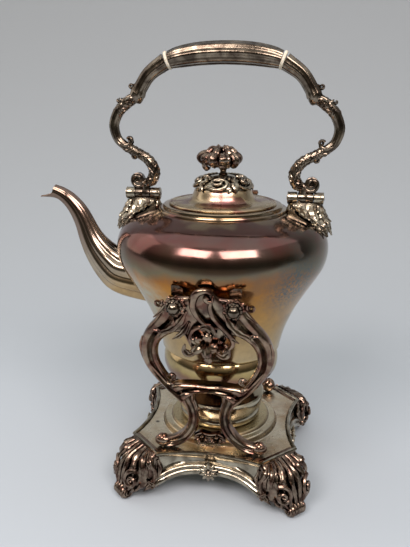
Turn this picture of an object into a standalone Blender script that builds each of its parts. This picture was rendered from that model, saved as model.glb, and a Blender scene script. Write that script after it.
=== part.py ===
"""Victorian spirit kettle on a tilting stand, in metres, +Z up.

The kettle hangs on four pins between two cast brackets. The spout points to -X and the
first bracket faces -Y. The kettle axis is the Z axis of the stand while it is built, and
one parent empty then centres the whole box on the origin.
"""
import math

import bpy
import bmesh
from mathutils import Matrix, Vector
from mathutils.geometry import tessellate_polygon

GAP = 0.0003
OVERRUN = 0.004
SEAM = 0.000002
SHEET = 0.0012
FINE_RING = 32
LAMP_RING = 28
ROUND = 20
BOSS_RING = 14
SMALL_ROUND = 10
COARSE_RING = 8
NUT_SIDES = 6
CREASE = math.radians(35)
STURDY = "MANIFOLD"

# Base: square plateau with hollow sides, cut corners and a moulded border that arches between its feet.
PLATE_HALF = 0.0771
CHAMFER_SHARE = 0.6005
CHAMFER_HALF = PLATE_HALF * CHAMFER_SHARE
SIDE_HOLLOW = 0.0084
SIDE_STEPS = 6
BORDER_DEPTH = 0.0040
BORDER_BOTTOM = 0.0252
BORDER_HEIGHT = 0.0210
BORDER_ARCH = 0.0120
LEDGE_SHARE = 0.8048
BORDER_SHARES = [
    (-0.825, LEDGE_SHARE, 0.0), (-0.825, 0.96, 0.0), (-0.500, 1.00, 0.0), (0.000, 0.92, 0.0),
    (-0.300, 0.78, 0.0), (-0.600, 0.62, 0.2), (-0.450, 0.48, 0.7), (0.350, 0.44, 1.0),
    (0.750, 0.35, 1.0), (0.550, 0.23, 1.0),
    (0.900, 0.15, 1.0), (0.800, 0.02, 1.0), (0.250, 0.00, 1.0), (-0.200, 0.30, 1.0), (-1.100, 0.52, 0.5),
    (-1.550, 0.73, 0.0), (-1.550, LEDGE_SHARE, 0.0),
]
ENVELOPE_SHARES = [
    (-0.15, 0.99, 0.0), (0.00, 0.92, 0.0), (-0.60, 0.64, 0.2), (0.35, 0.47, 1.0), (0.95, 0.36, 1.0),
    (0.95, 0.00, 1.0), (0.25, -0.03, 1.0),
]
PLATE_THICK = 0.0020
PLATE_TOP = BORDER_BOTTOM + BORDER_HEIGHT * LEDGE_SHARE + PLATE_THICK + GAP
PLATE_INSET = 0.0036
STEP_RADIUS = 0.0552
STEP_RISE = 0.0048
STEP_TOP = PLATE_TOP + STEP_RISE
INNER_STEP_RADIUS = 0.0475
INNER_STEP_RISE = 0.0028
INNER_STEP_TOP = STEP_TOP + INNER_STEP_RISE
STEP_EDGE = 0.0016

# Feet on the cut corners: level slices over a rolled toe.
FOOT_SINK = 0.00426
FOOT_START = (PLATE_HALF + CHAMFER_HALF) * math.cos(math.pi / 4) - FOOT_SINK
FOOT_REACH = 0.0332
FOOT_TOP = BORDER_BOTTOM + BORDER_HEIGHT
FOOT_HALF = 0.0222
FOOT_SHARES = [
    (0.990, 0.20, 0.12, 0.86), (0.920, 0.45, 0.17, 0.96), (0.790, 0.66, 0.20, 1.00),
    (0.610, 0.78, 0.22, 1.00), (0.430, 0.83, 0.24, 0.99), (0.300, 0.85, 0.25, 0.96),
    (0.190, 0.85, 0.45, 0.62), (0.090, 0.80, 0.62, 0.30),
]
FOOT_STEPS = 8
FOOT_ROUNDNESS = 0.8
TOE_RADIUS = 0.0066
TOE_HALF = 0.0074
TOE_SINK = 0.0004

# Fluted shell on the middle of each side.
SHELL_RADIUS = 0.0084
SHELL_STRETCH = 1.15
SHELL_LIFT = 0.0028
SHELL_THICK = 0.0044
SHELL_RIBS = 8
SHELL_RIB_SHARE = 0.12
SHELL_FACE_SHARES = (0.8, 0.4)

# Spirit lamp: squat drum with a turned side, screwed burner and wick.
LAMP_RADIUS = 0.0423
LAMP_HEIGHT = 0.0333
LAMP_BORE = 0.0094
LAMP_SHARES = [
    (0.800, 0.000), (0.905, 0.040), (0.925, 0.215), (0.895, 0.285), (0.955, 0.345), (0.990, 0.560),
    (1.000, 0.670), (0.970, 0.730), (0.790, 0.840), (0.560, 0.940), (0.330, 1.000),
]
COLLAR_RADIUS = 0.0125
COLLAR_THICK = 0.0022
TUBE_RADIUS = 0.0052
TUBE_BORE = 0.0040
TUBE_RISE = 0.0048
COLLAR_DEPTH = 0.0050
WICK_LIFT = 0.0077
WICK_RISE = 0.0020
WICK_TOP = INNER_STEP_TOP + GAP + LAMP_HEIGHT + COLLAR_THICK + TUBE_RISE + WICK_RISE
FLAME_ROOM = 0.0084

# Kettle body: a turned sheet bowl that swells above the pins, on a spigot foot.
BODY_RADIUS = 0.0950
BODY_FLOOR = WICK_TOP + FLAME_ROOM
SPIGOT_DEPTH = 0.0250
BODY_START = BODY_FLOOR + SPIGOT_DEPTH
BODY_HEIGHT = 0.1255
BODY_TOP = BODY_START + BODY_HEIGHT
SPIGOT_SHARE = 0.4947
SPIGOT_RADIUS = BODY_RADIUS * SPIGOT_SHARE
BODY_SHARES = [
    (0.584, 0.00), (0.608, 0.08), (0.640, 0.16), (0.682, 0.24), (0.729, 0.32), (0.787, 0.40),
    (0.853, 0.48), (0.919, 0.56), (0.975, 0.64), (1.000, 0.72), (0.994, 0.80), (0.962, 0.86),
    (0.912, 0.91), (0.827, 0.948), (0.726, 0.976), (0.630, 1.00),
]
RIM_SHARE = 0.6021
RIM_RADIUS = BODY_RADIUS * RIM_SHARE
RIM_STEP = 0.0026
RIM_INSET = 0.0042
SEAT_RISE = 0.0055
SEAT_HEIGHT = BODY_TOP + SEAT_RISE
SEAT_WIDTH = 0.0116
MOUTH_RADIUS = RIM_RADIUS - SEAT_WIDTH

# Half-round roll that hides the seam between the bowl and its foot.
ROLL_SHARE = 0.5705
ROLL_RADIUS = BODY_RADIUS * ROLL_SHARE
ROLL_HEIGHT = 0.0287
ROLL_SHARES = [(0.955, 1.00), (0.985, 0.86), (1.000, 0.62), (0.985, 0.38), (0.940, 0.18), (0.890, 0.05)]

# Spout: centre line and half depth as shares of its reach, its rise and its root.
SPOUT_REACH = 0.1590
SPOUT_LEVEL_SHARE = 0.478
SPOUT_BASE = BODY_START + BODY_HEIGHT * SPOUT_LEVEL_SHARE
SPOUT_RISE = 0.0785
SPOUT_ROOT = 0.0275
SPOUT_WIDTH_RATIO = 0.84
SPOUT_SHARES = [
    (0.390, 0.000, 1.00), (0.590, 0.030, 0.87), (0.655, 0.100, 0.735), (0.708, 0.204, 0.62),
    (0.755, 0.325, 0.510), (0.790, 0.452, 0.422), (0.816, 0.592, 0.360), (0.844, 0.721, 0.327),
    (0.877, 0.819, 0.295), (0.916, 0.903, 0.262), (0.960, 0.961, 0.233), (1.000, 0.990, 0.215),
]
SPOUT_LOBES = 10
SPOUT_LOBE_SHARE = 0.035
BEAK_LENGTH = 0.0125
BEAK_DROP = 0.0010

# Lid: stepped plate, raised dome and a plug that drops into the mouth.
LID_OVERLAP = 0.0024
LID_RADIUS = MOUTH_RADIUS + LID_OVERLAP
LID_RISE = 0.0186
LID_BORE = 0.0020
PLUG_PLAY = 0.0008
PLUG_RADIUS = MOUTH_RADIUS - PLUG_PLAY
PLUG_DEPTH = 0.0058
LID_SHARES = [
    (1.000, 0.055), (0.975, 0.100), (0.800, 0.125), (0.660, 0.160), (0.605, 0.225), (0.565, 0.380),
    (0.535, 0.570), (0.512, 0.720), (0.458, 0.850), (0.312, 0.950), (0.167, 0.990),
]
LID_HINGE_REACH = 0.0075
LID_HINGE_Y = LID_RADIUS + LID_HINGE_REACH
LID_HINGE_RISE = 0.0015
LID_HINGE_Z = SEAT_HEIGHT + LID_HINGE_RISE
LID_KNUCKLE = 0.0023
LID_PIN = 0.0010
LID_HINGE_HALF = 0.0265
LID_KNUCKLE_HALF = 0.0100

# Scroll crown, stem and flower of the finial.
CROWN_SPREAD_SHARE = 0.5167
CROWN_RADIUS = LID_RADIUS * CROWN_SPREAD_SHARE
CROWN_LEVEL_SHARE = 0.6882
CROWN_BOTTOM = SEAT_HEIGHT + GAP + LID_RISE * CROWN_LEVEL_SHARE
CROWN_HEIGHT = 0.0132
CROWN_SHARES = [(1.00, 0.09), (0.98, 0.34), (0.86, 0.58), (0.64, 0.80), (0.40, 0.95), (0.19, 1.00)]
CROWN_LEAVES = 8
CROWN_LEAF_SHARE = 0.030
CROWN_SKIRT_SHARE = 0.999
STEM_RADIUS = 0.0040
STEM_WAIST_SHARE = 0.8
STEM_LENGTH = 0.0047
STEM_TOP = CROWN_BOTTOM + CROWN_HEIGHT + STEM_LENGTH
ROD_RADIUS = 0.0016
NUT_RADIUS = 0.0042
NUT_HEIGHT = 0.0030
FLOWER_RISE = 0.0095
FLOWER_HEIGHT = STEM_TOP + FLOWER_RISE
FLOWER_CORE = 0.0098
FLOWER_SQUASH_SHARE = 0.95
PETAL_REACH = 0.0110
PETAL_LENGTH = 0.0078
PETAL_WIDTH = 0.0054
PETAL_THICK = 0.0062
PETALS = 8
PETAL_DROOP = math.radians(28)
FLOWER_SHIFT = 0.0030

# Handle: hinge barrels over the shoulder, cast arms, ivory rings and grip.
HINGE_SHARE = 0.7663
HINGE_X = BODY_RADIUS * HINGE_SHARE
HINGE_RISE = 0.0125
HINGE_Z = BODY_TOP + HINGE_RISE
BARREL_RADIUS = 0.0054
BARREL_HALF = 0.0157
KNUCKLE_HALF = 0.0068
BARREL_INNER = HINGE_X - BARREL_HALF
BARREL_OUTER = HINGE_X + BARREL_HALF
ARM_KNUCKLE_INNER = HINGE_X - KNUCKLE_HALF
ARM_KNUCKLE_OUTER = HINGE_X + KNUCKLE_HALF
HINGE_PIN = 0.0017
PIN_CLEARANCE = 0.00006
ARM_BOW = 0.0302
ARM_HEIGHT = 0.1139
ARM_RADIUS = 0.0070
ARM_DEPTH_RATIO = 0.95
ARM_SHARES = [
    (-0.265, 0.907, 0.87), (0.014, 0.803, 0.84), (0.117, 0.753, 0.93), (0.304, 0.715, 0.78),
    (0.488, 0.682, 0.71), (0.700, 0.623, 0.70), (0.840, 0.526, 0.67), (0.761, 0.430, 0.61),
    (0.570, 0.377, 0.60), (0.239, 0.326, 0.61), (-0.156, 0.267, 0.66), (-0.344, 0.184, 0.73),
    (-0.272, 0.108, 0.73), (-0.132, 0.085, 0.57), (-0.023, 0.074, 0.60),
]
VOLUTE_OFFSET = 0.0045
VOLUTE_RISE = 0.0121
VOLUTE_RADIUS = 0.0066
VOLUTE_HALF = 0.0042
BUD_RADIUS = 0.0030
BUD_SHARES = [(0.205, 0.833), (0.427, 0.408), (0.338, 0.290)]
IVORY_SETBACK = 0.0239
IVORY_X = HINGE_X - IVORY_SETBACK
IVORY_Z = HINGE_Z + ARM_HEIGHT
IVORY_SLOPE = math.radians(20.2)
IVORY_RADIUS = 0.0078
IVORY_THICK = 0.0026
GRIP_RADIUS = 0.0093
GRIP_END_RADIUS = 0.0073
GRIP_ARCH = 0.0062
GRIP_TOP = IVORY_Z + GRIP_ARCH
GRIP_SHARES = [(0.45, 0.15, 1.00), (0.80, 0.58, 0.92)]
TENON_RADIUS = 0.0021
TENON_REACH = 0.0070

# Cast leaves on the shoulder that carry the barrels.
SOCKET_SHARES = [(0.00, 0.55, 1.00), (0.40, 0.72, 0.90), (0.78, 0.55, 0.75), (0.55, 0.95, 0.55)]
SOCKET_LENGTH = 0.0300
SOCKET_HALF = 0.0135
SOCKET_PROUD = 0.0042
SOCKET_LUMP_SHARE = 0.34
SOCKET_DEPTH_SHARE = 2.4
SOCKET_NECK_HALF = 0.0060
SOCKET_EAR_HALF = 0.0044

# Pins that carry the kettle, and the straps that take them.
PIN_LEVEL_SHARE = 0.5331
PIN_Z = BODY_START + BODY_HEIGHT * PIN_LEVEL_SHARE
PIN_RADIUS = 0.0020
PIN_RUN = 0.00008
PIN_HEAD = 0.0068
PIN_HEAD_THICK = 0.0032
PIN_HEAD_SHARE = 0.72
STRAP_SHARE = 0.9495
STRAP_OUTER = BODY_RADIUS * STRAP_SHARE
STRAP_THICK = 0.0034
STRAP_INNER = STRAP_OUTER - STRAP_THICK
PIN_PROUD = 0.0020
PIN_TIP = STRAP_INNER - PIN_PROUD
STRAP_HALF = 0.0046
STRAP_RISE = 0.0141
STRAP_DROP = 0.0050
HOOK_FLARE = 0.0012

# Cast bracket: outline as shares of its half width and height, leaning out to the pins.
BRACKET_SPREAD_SHARE = 0.7095
BRACKET_HALF = PLATE_HALF * BRACKET_SPREAD_SHARE
BRACKET_FOOT = PLATE_TOP + GAP
BOSS_SHARE = 0.9005
BRACKET_HEIGHT = (PIN_Z - BRACKET_FOOT) / BOSS_SHARE
PIN_X_SHARE = 0.4278
PIN_X = BRACKET_HALF * PIN_X_SHARE
BALL_SHARE = 0.8007
BALL_X = BRACKET_HALF * BALL_SHARE
BALL_RADIUS = 0.0064
BRACKET_SETBACK = 0.0156
BRACKET_Y = PLATE_HALF - BRACKET_SETBACK
BOSS_STANDOFF = 0.0051
BRACKET_LEAN = (STRAP_OUTER + BOSS_STANDOFF - BRACKET_Y) / (PIN_Z - BRACKET_FOOT - BALL_RADIUS)
BRACKET_THICK = 0.0072
BRACKET_EDGE = 0.0016
BOSS_RADIUS = 0.0086
BRACKET_OUTER_SHARES = [
    (0.062, 0.994), (0.137, 0.984), (0.160, 0.962), (0.225, 0.950), (0.300, 0.944), (0.400, 0.940),
    (0.470, 0.936), (0.545, 0.912), (0.590, 0.898), (0.640, 0.905), (0.700, 0.917),
    (0.728, 0.905), (0.712, 0.880), (0.668, 0.858), (0.700, 0.832), (0.770, 0.806), (0.840, 0.776),
    (0.912, 0.742), (0.965, 0.702), (0.995, 0.660), (1.000, 0.620), (0.982, 0.580), (0.940, 0.542),
    (0.880, 0.505), (0.800, 0.466), (0.700, 0.424), (0.600, 0.388), (0.520, 0.362), (0.475, 0.336),
    (0.420, 0.310), (0.366, 0.280), (0.338, 0.240), (0.350, 0.198), (0.396, 0.156), (0.475, 0.117),
    (0.570, 0.088), (0.670, 0.074),
]
BRACKET_INNER_SHARES = [
    (0.640, 0.002), (0.500, 0.014), (0.375, 0.045), (0.300, 0.068), (0.235, 0.060), (0.120, 0.052),
]
WINDOW_SHARES = [
    (0.060, 0.604), (0.140, 0.612), (0.220, 0.640), (0.262, 0.676), (0.285, 0.712), (0.330, 0.736),
    (0.430, 0.738), (0.540, 0.728), (0.640, 0.706), (0.715, 0.674), (0.752, 0.634), (0.752, 0.592),
    (0.722, 0.550), (0.665, 0.508), (0.590, 0.468), (0.500, 0.452), (0.360, 0.454), (0.180, 0.457),
]
ARCH_SHARES = [
    (0.120, 0.388), (0.215, 0.374), (0.228, 0.340), (0.186, 0.296), (0.160, 0.242), (0.170, 0.188),
    (0.205, 0.142), (0.120, 0.122),
]
BALL_ARC = tuple(math.radians(a) for a in (140, 70, 0, -70))
BOUQUET_SHARES = [(0.00, 0.695, 1.00), (0.17, 0.735, 0.55), (-0.17, 0.735, 0.55), (0.00, 0.800, 0.70)]
BOUQUET_RADIUS = 0.0118
BLOOM_DEPTH_SHARE = 0.7
KNOT_RADIUS = 0.0048
KNOT_SHARES = (0.1133, 0.0893)
KNOT_DEPTH_SHARE = 0.6
SCREW_RADIUS = 0.0014
SCREW_HEAD = 0.0030
SCREW_HEAD_THICK = 0.0015
SCREW_REACH = 0.0048


def clear_scene():
    for item in list(bpy.data.objects):
        bpy.data.objects.remove(item, do_unlink=True)


def material(name, colour, roughness, metallic):
    made = bpy.data.materials.new(name)
    made.use_nodes = True
    shader = made.node_tree.nodes["Principled BSDF"]
    shader.inputs["Base Color"].default_value = (*colour, 1.0)
    shader.inputs["Roughness"].default_value = roughness
    shader.inputs["Metallic"].default_value = metallic
    return made


def silver_sheet():
    return material("tarnished_silver_sheet", (0.42, 0.33, 0.26), 0.28, 1.0)


def silver_cast():
    return material("tarnished_silver_cast", (0.34, 0.27, 0.21), 0.36, 1.0)


def copper_cast():
    return material("worn_copper_cast", (0.42, 0.21, 0.16), 0.34, 1.0)


def ivory_white():
    return material("aged_ivory", (0.78, 0.72, 0.60), 0.45, 0.0)


def steel_grey():
    return material("plain_steel", (0.45, 0.45, 0.45), 0.40, 1.0)


def wick_cotton():
    return material("cotton_wick", (0.75, 0.72, 0.65), 0.90, 0.0)


def make_object(name, points, faces):
    mesh = bpy.data.meshes.new(name)
    mesh.from_pydata([tuple(p) for p in points], [], faces)
    net = bmesh.new()
    net.from_mesh(mesh)
    bmesh.ops.remove_doubles(net, verts=net.verts, dist=SEAM)
    bmesh.ops.recalc_face_normals(net, faces=net.faces)
    net.to_mesh(mesh)
    net.free()
    made = bpy.data.objects.new(name, mesh)
    bpy.context.collection.objects.link(made)
    return made


def boolean(target, tool, operation, solver="EXACT"):
    step = target.modifiers.new(operation, "BOOLEAN")
    step.operation = operation
    step.solver = solver
    step.object = tool
    bpy.ops.object.select_all(action="DESELECT")
    target.select_set(True)
    bpy.context.view_layer.objects.active = target
    bpy.ops.object.modifier_apply(modifier=step.name)
    bpy.data.objects.remove(tool, do_unlink=True)
    return target


def unite(target, *tools, solver="EXACT"):
    for tool in tools:
        boolean(target, tool, "UNION", solver)
    return target


def cut(target, *tools, solver="EXACT"):
    for tool in tools:
        boolean(target, tool, "DIFFERENCE", solver)
    return target


def finish(made, surface, owner, weld=True):
    mesh = made.data
    if weld:
        net = bmesh.new()
        net.from_mesh(mesh)
        bmesh.ops.remove_doubles(net, verts=net.verts, dist=SEAM)
        bmesh.ops.dissolve_degenerate(net, dist=SEAM, edges=net.edges)
        net.to_mesh(mesh)
        net.free()
    mesh.materials.clear()
    mesh.materials.append(surface)
    for face in mesh.polygons:
        face.use_smooth = True
        face.material_index = 0
    mesh.set_sharp_from_angle(angle=CREASE)
    made.parent = owner
    return made


def pivot(made, centre):
    """Move the object's origin to centre, leaving its shape where it is."""
    made.data.transform(Matrix.Translation(-Vector(centre)))
    made.location = centre
    return made


def revolve(name, outline, ring, closed=False, swell=None):
    """Turn (radius, height) points about Z. Closed outlines make a ring with no axis point."""
    points = []
    rows = []
    for radius, height in outline:
        if radius == 0:
            rows.append([len(points)])
            points.append((0, 0, height))
            continue
        row = []
        for k in range(ring):
            turn = 2 * math.pi * k / ring
            reach = radius * (swell(turn, radius, height) if swell else 1)
            row.append(len(points))
            points.append((reach * math.cos(turn), reach * math.sin(turn), height))
        rows.append(row)
    faces = []
    pairs = list(zip(rows, rows[1:]))
    if closed:
        pairs.append((rows[-1], rows[0]))
    for low, high in pairs:
        for k in range(ring):
            after = (k + 1) % ring
            if len(low) == 1 and len(high) == 1:
                continue
            if len(low) == 1:
                faces.append((low[0], high[after], high[k]))
            elif len(high) == 1:
                faces.append((low[k], low[after], high[0]))
            else:
                faces.append((low[k], low[after], high[after], high[k]))
    return make_object(name, points, faces)


def loft(name, rings, closed=False):
    """Skin a list of equal rings; open lofts get a flat cap at each end."""
    count = len(rings[0])
    points = [p for ring in rings for p in ring]
    faces = []
    last = len(rings) if closed else len(rings) - 1
    for i in range(last):
        after = (i + 1) % len(rings)
        for k in range(count):
            side = (k + 1) % count
            faces.append((i * count + k, i * count + side, after * count + side, after * count + k))
    if not closed:
        faces.append(tuple(range(count - 1, -1, -1)))
        faces.append(tuple((len(rings) - 1) * count + k for k in range(count)))
    return make_object(name, points, faces)


def bar(name, start, end, radius, ring=SMALL_ROUND, end_radius=None):
    """A round bar, or a cone frustum, between two points."""
    start, end = Vector(start), Vector(end)
    along = (end - start).normalized()
    side = along.orthogonal().normalized()
    other = along.cross(side)
    rings = []
    for centre, size in ((start, radius), (end, radius if end_radius is None else end_radius)):
        turns = [2 * math.pi * k / ring for k in range(ring)]
        rings.append([centre + side * (size * math.cos(t)) + other * (size * math.sin(t)) for t in turns])
    return loft(name, rings)


def block(name, low, high):
    xs, ys, zs = zip(low, high)
    rings = [[(xs[0], ys[0], z), (xs[1], ys[0], z), (xs[1], ys[1], z), (xs[0], ys[1], z)] for z in zs]
    return loft(name, rings)


def pebble(name, centre, radii, ring=SMALL_ROUND, rows=8, turn=None):
    """A squashed ball, turned by a matrix when one is given."""
    centre = Vector(centre)
    points = []
    for j in range(1, rows):
        tip = math.pi * j / rows
        for k in range(ring):
            spin = 2 * math.pi * k / ring
            point = Vector((radii[0] * math.sin(tip) * math.cos(spin),
                            radii[1] * math.sin(tip) * math.sin(spin), radii[2] * math.cos(tip)))
            points.append(point)
    points += [Vector((0, 0, radii[2])), Vector((0, 0, -radii[2]))]
    top, bottom = len(points) - 2, len(points) - 1
    faces = []
    for k in range(ring):
        side = (k + 1) % ring
        faces.append((k, side, top))
        for j in range(rows - 2):
            faces.append((j * ring + k, (j + 1) * ring + k, (j + 1) * ring + side, j * ring + side))
        faces.append(((rows - 2) * ring + side, (rows - 2) * ring + k, bottom))
    if turn:
        points = [turn @ p for p in points]
    return make_object(name, [centre + p for p in points], faces)


def offset_outline(outline, distance):
    """Shift a run of (radius, height) points to its left by distance."""
    moved = []
    for i, (radius, height) in enumerate(outline):
        before = outline[max(i - 1, 0)]
        after = outline[min(i + 1, len(outline) - 1)]
        step = Vector((after[0] - before[0], after[1] - before[1])).normalized()
        moved.append((max(radius - step.y * distance, 0), height + step.x * distance))
    return moved


def thin_run(run):
    """Every other point of a run, with its last one kept, for skins nobody sees."""
    return run[:-1:2] + run[-1:]


def smooth_run(knots, steps):
    """Curve through the knots (Catmull-Rom), with steps pieces to each span."""
    knots = [Vector(k) for k in knots]
    ends = [knots[0] * 2 - knots[1]] + knots + [knots[-1] * 2 - knots[-2]]
    run = []
    for i in range(1, len(ends) - 2):
        p0, p1, p2, p3 = ends[i - 1:i + 3]
        for k in range(steps):
            t = k / steps
            run.append(0.5 * (2 * p1 + (p2 - p0) * t + (2 * p0 - 5 * p1 + 4 * p2 - p3) * t ** 2
                              + (3 * p1 - p0 - 3 * p2 + p3) * t ** 3))
    run.append(knots[-1])
    return run


def bowl_outline():
    """The bowl's outer side, from its step above the roll to the foot of the rim."""
    return [(r * BODY_RADIUS, BODY_START + h * BODY_HEIGHT) for r, h in BODY_SHARES]


def rim_outline():
    """Two steps up from the bowl's shoulder to the seat of the lid."""
    low = BODY_TOP
    second = RIM_RADIUS - RIM_INSET
    return [
        (RIM_RADIUS, low + GAP), (RIM_RADIUS, low + RIM_STEP - GAP), (RIM_RADIUS - SHEET, low + RIM_STEP),
        (second, low + RIM_STEP + GAP), (second - GAP, SEAT_HEIGHT - GAP), (second - SHEET, SEAT_HEIGHT),
        (MOUTH_RADIUS, SEAT_HEIGHT),
    ]


def bowl_cutter():
    """The outside of the closed bowl, grown by one gap, for parts that sit on it."""
    side = offset_outline(bowl_outline(), -GAP)
    reach = SPIGOT_RADIUS + GAP
    low = [(0, BODY_FLOOR - GAP), (reach, BODY_FLOOR - GAP), (reach, BODY_START - GAP)]
    high = [(r + GAP, z + GAP) for r, z in rim_outline()]
    return revolve("bowl_cutter", low + side + high + [(0, SEAT_HEIGHT + GAP)], FINE_RING)


def spout_rings(shrink, start, stretch):
    """Rings of the spout's skin, thinner by shrink; stretch lengthens the lower lip."""
    knots = [(x * SPOUT_REACH, z * SPOUT_RISE, h * SPOUT_ROOT) for x, z, h in SPOUT_SHARES]
    rings = []
    for i in range(start, len(knots)):
        before, after = knots[max(i - 1, 0)], knots[min(i + 1, len(knots) - 1)]
        along = Vector((before[0] - after[0], 0, after[1] - before[1])).normalized()
        up = Vector((along.z, 0, -along.x))
        centre = Vector((-knots[i][0], 0, SPOUT_BASE + knots[i][1]))
        lip = stretch if i == len(knots) - 1 else 0
        ring = []
        for k in range(2 * SPOUT_LOBES):
            turn = math.pi * k / SPOUT_LOBES
            lobe = 1 + SPOUT_LOBE_SHARE * math.cos(SPOUT_LOBES * turn)
            depth = knots[i][2] * lobe - shrink
            point = centre + up * (depth * math.sin(turn))
            point.y += (knots[i][2] * SPOUT_WIDTH_RATIO * lobe - shrink) * math.cos(turn)
            low = max(-math.sin(turn), 0) ** 3
            point.x -= lip * low
            point.z -= BEAK_DROP * low * (lip > 0)
            ring.append(point)
        rings.append(ring)
    return rings


def kettle_body(owner, surface):
    side = bowl_outline()
    floor = [(0, BODY_FLOOR), (SPIGOT_RADIUS - SHEET, BODY_FLOOR), (SPIGOT_RADIUS, BODY_FLOOR + SHEET),
             (SPIGOT_RADIUS, BODY_START)]
    inside = thin_run(offset_outline(side, SHEET))
    inside[0] = (inside[0][0], BODY_START + SHEET)
    lining = [(MOUTH_RADIUS, inside[-1][1])] + inside[::-1]
    lining += [(SPIGOT_RADIUS - SHEET, BODY_START + SHEET), (SPIGOT_RADIUS - SHEET, BODY_FLOOR + SHEET * 2),
               (0, BODY_FLOOR + SHEET)]
    body = revolve("kettle_body", floor + side + rim_outline() + lining, FINE_RING)
    cut(body, loft("passage", spout_rings(SHEET * 2, 0, 0)))
    return finish(body, surface, owner)


def foot_roll(owner, surface):
    low = BODY_START - GAP - ROLL_HEIGHT
    outer = [(r * ROLL_RADIUS, low + h * ROLL_HEIGHT) for r, h in ROLL_SHARES]
    inner = SPIGOT_RADIUS + GAP
    outline = [(inner, BODY_START - GAP)] + outer + [(inner, low)]
    return finish(revolve("foot_roll", outline, FINE_RING, closed=True), surface, owner)


def spout(owner, surface):
    outer = spout_rings(0, 0, BEAK_LENGTH)
    inner = spout_rings(SHEET, 0, BEAK_LENGTH)
    made = loft("spout", outer + inner[::-1], closed=True)
    cut(made, bowl_cutter())
    return finish(made, surface, owner)


def lid_outline():
    base = SEAT_HEIGHT + GAP
    top = [(r * LID_RADIUS, base + h * LID_RISE) for r, h in LID_SHARES]
    under = offset_outline(top[2:], SHEET)
    plug = PLUG_RADIUS - SHEET
    bottom = base - PLUG_DEPTH
    outline = [(LID_RADIUS, base)] + top + [(LID_BORE, top[-1][1]), (LID_BORE, top[-1][1] - SHEET)]
    outline += [(r, z) for r, z in under[::-1] if r < plug - SHEET]
    outline += [(plug, under[0][1] - SHEET / 4), (plug, bottom), (PLUG_RADIUS, bottom), (PLUG_RADIUS, base)]
    return outline


def lid_plate(owner, surface):
    plate = revolve("lid_plate", lid_outline(), FINE_RING, closed=True)
    reach = LID_KNUCKLE_HALF
    top = LID_HINGE_Z + LID_KNUCKLE / 3
    low = SEAT_HEIGHT + GAP * 2
    tab = block("lid_tab", (-reach, LID_RADIUS - LID_KNUCKLE, low), (reach, LID_HINGE_Y, top))
    axis = (LID_HINGE_Y, LID_HINGE_Z)
    knuckle = bar("lid_knuckle", (-reach, *axis), (reach, *axis), LID_KNUCKLE)
    unite(plate, tab, knuckle)
    hole = LID_PIN + PIN_CLEARANCE
    cut(plate, bar("lid_hole", (-LID_HINGE_HALF, *axis), (LID_HINGE_HALF, *axis), hole))
    pivot(finish(plate, surface, owner), (0, LID_HINGE_Y, LID_HINGE_Z))
    return plate


def lid_hinge_bracket(owner, surface):
    inner, outer = LID_KNUCKLE_HALF + GAP, LID_HINGE_HALF
    axis = (LID_HINGE_Y, LID_HINGE_Z)
    low = BODY_TOP - OVERRUN
    back = LID_HINGE_Y + LID_KNUCKLE
    made = block("lid_hinge_bracket", (-outer + GAP, LID_HINGE_Y - LID_KNUCKLE / 2, low),
                 (outer - GAP, back, SEAT_HEIGHT - SHEET))
    for sign in (-1, 1):
        near, far = sign * inner, sign * outer
        ear = block("ear", (min(near, far - sign * GAP), axis[0] - LID_KNUCKLE / 2, low),
                    (max(near, far - sign * GAP), back - GAP, axis[1]))
        knuckle = bar("knuckle", (near - sign * GAP / 3, *axis), (far, *axis), LID_KNUCKLE)
        unite(made, ear, knuckle)
    hole = LID_PIN + PIN_CLEARANCE
    cut(made, bowl_cutter(), bar("hole", (-outer - OVERRUN, *axis), (outer + OVERRUN, *axis), hole))
    return finish(made, surface, owner)


def lid_hinge_pin(owner, surface):
    half = LID_HINGE_HALF + SHEET / 2
    made = bar("lid_hinge_pin", (-half, LID_HINGE_Y, LID_HINGE_Z), (half, LID_HINGE_Y, LID_HINGE_Z), LID_PIN)
    return finish(made, surface, owner)


def lid_top_height(radius):
    """Height of the lid's outer skin at a radius."""
    run = [(r, z) for r, z in lid_outline()[1:len(LID_SHARES) + 1]]
    for (r0, z0), (r1, z1) in zip(run, run[1:]):
        if r1 <= radius <= r0:
            return z0 + (z1 - z0) * (r0 - radius) / (r0 - r1)
    return run[-1][1]


def lid_crown(owner, surface):
    def leaves(turn, radius, height):
        rim = min(radius / CROWN_RADIUS, 1) ** 2
        return 1 + CROWN_LEAF_SHARE * rim * (1 + math.cos(CROWN_LEAVES * turn))

    outer = [(r * CROWN_RADIUS, CROWN_BOTTOM + h * CROWN_HEIGHT) for r, h in CROWN_SHARES]
    skin = [(r, z) for r, z in lid_outline()[1:len(LID_SHARES) + 1] if r < CROWN_RADIUS * CROWN_SKIRT_SHARE]
    under = offset_outline(skin, -GAP)
    hole = ROD_RADIUS + GAP
    outline = outer + [(hole, outer[-1][1]), (hole, under[-1][1])] + under[::-1]
    made = revolve("lid_crown", outline, CROWN_LEAVES * 4, closed=True, swell=leaves)
    return finish(made, surface, owner)


def finial_stem(owner, surface):
    crown_top = CROWN_BOTTOM + CROWN_HEIGHT
    nut_top = lid_top_height(0) - SHEET - GAP
    end = nut_top - NUT_HEIGHT - SHEET
    tip = STEM_TOP + OVERRUN
    outline = [
        (0, end), (ROD_RADIUS, end), (ROD_RADIUS, crown_top + GAP), (STEM_RADIUS, crown_top + GAP),
        (STEM_RADIUS * STEM_WAIST_SHARE, crown_top + SHEET), (STEM_RADIUS, STEM_TOP - SHEET),
        (STEM_RADIUS, STEM_TOP), (ROD_RADIUS, STEM_TOP), (ROD_RADIUS, tip), (0, tip),
    ]
    return finish(revolve("finial_stem", outline, SMALL_ROUND), surface, owner)


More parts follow.
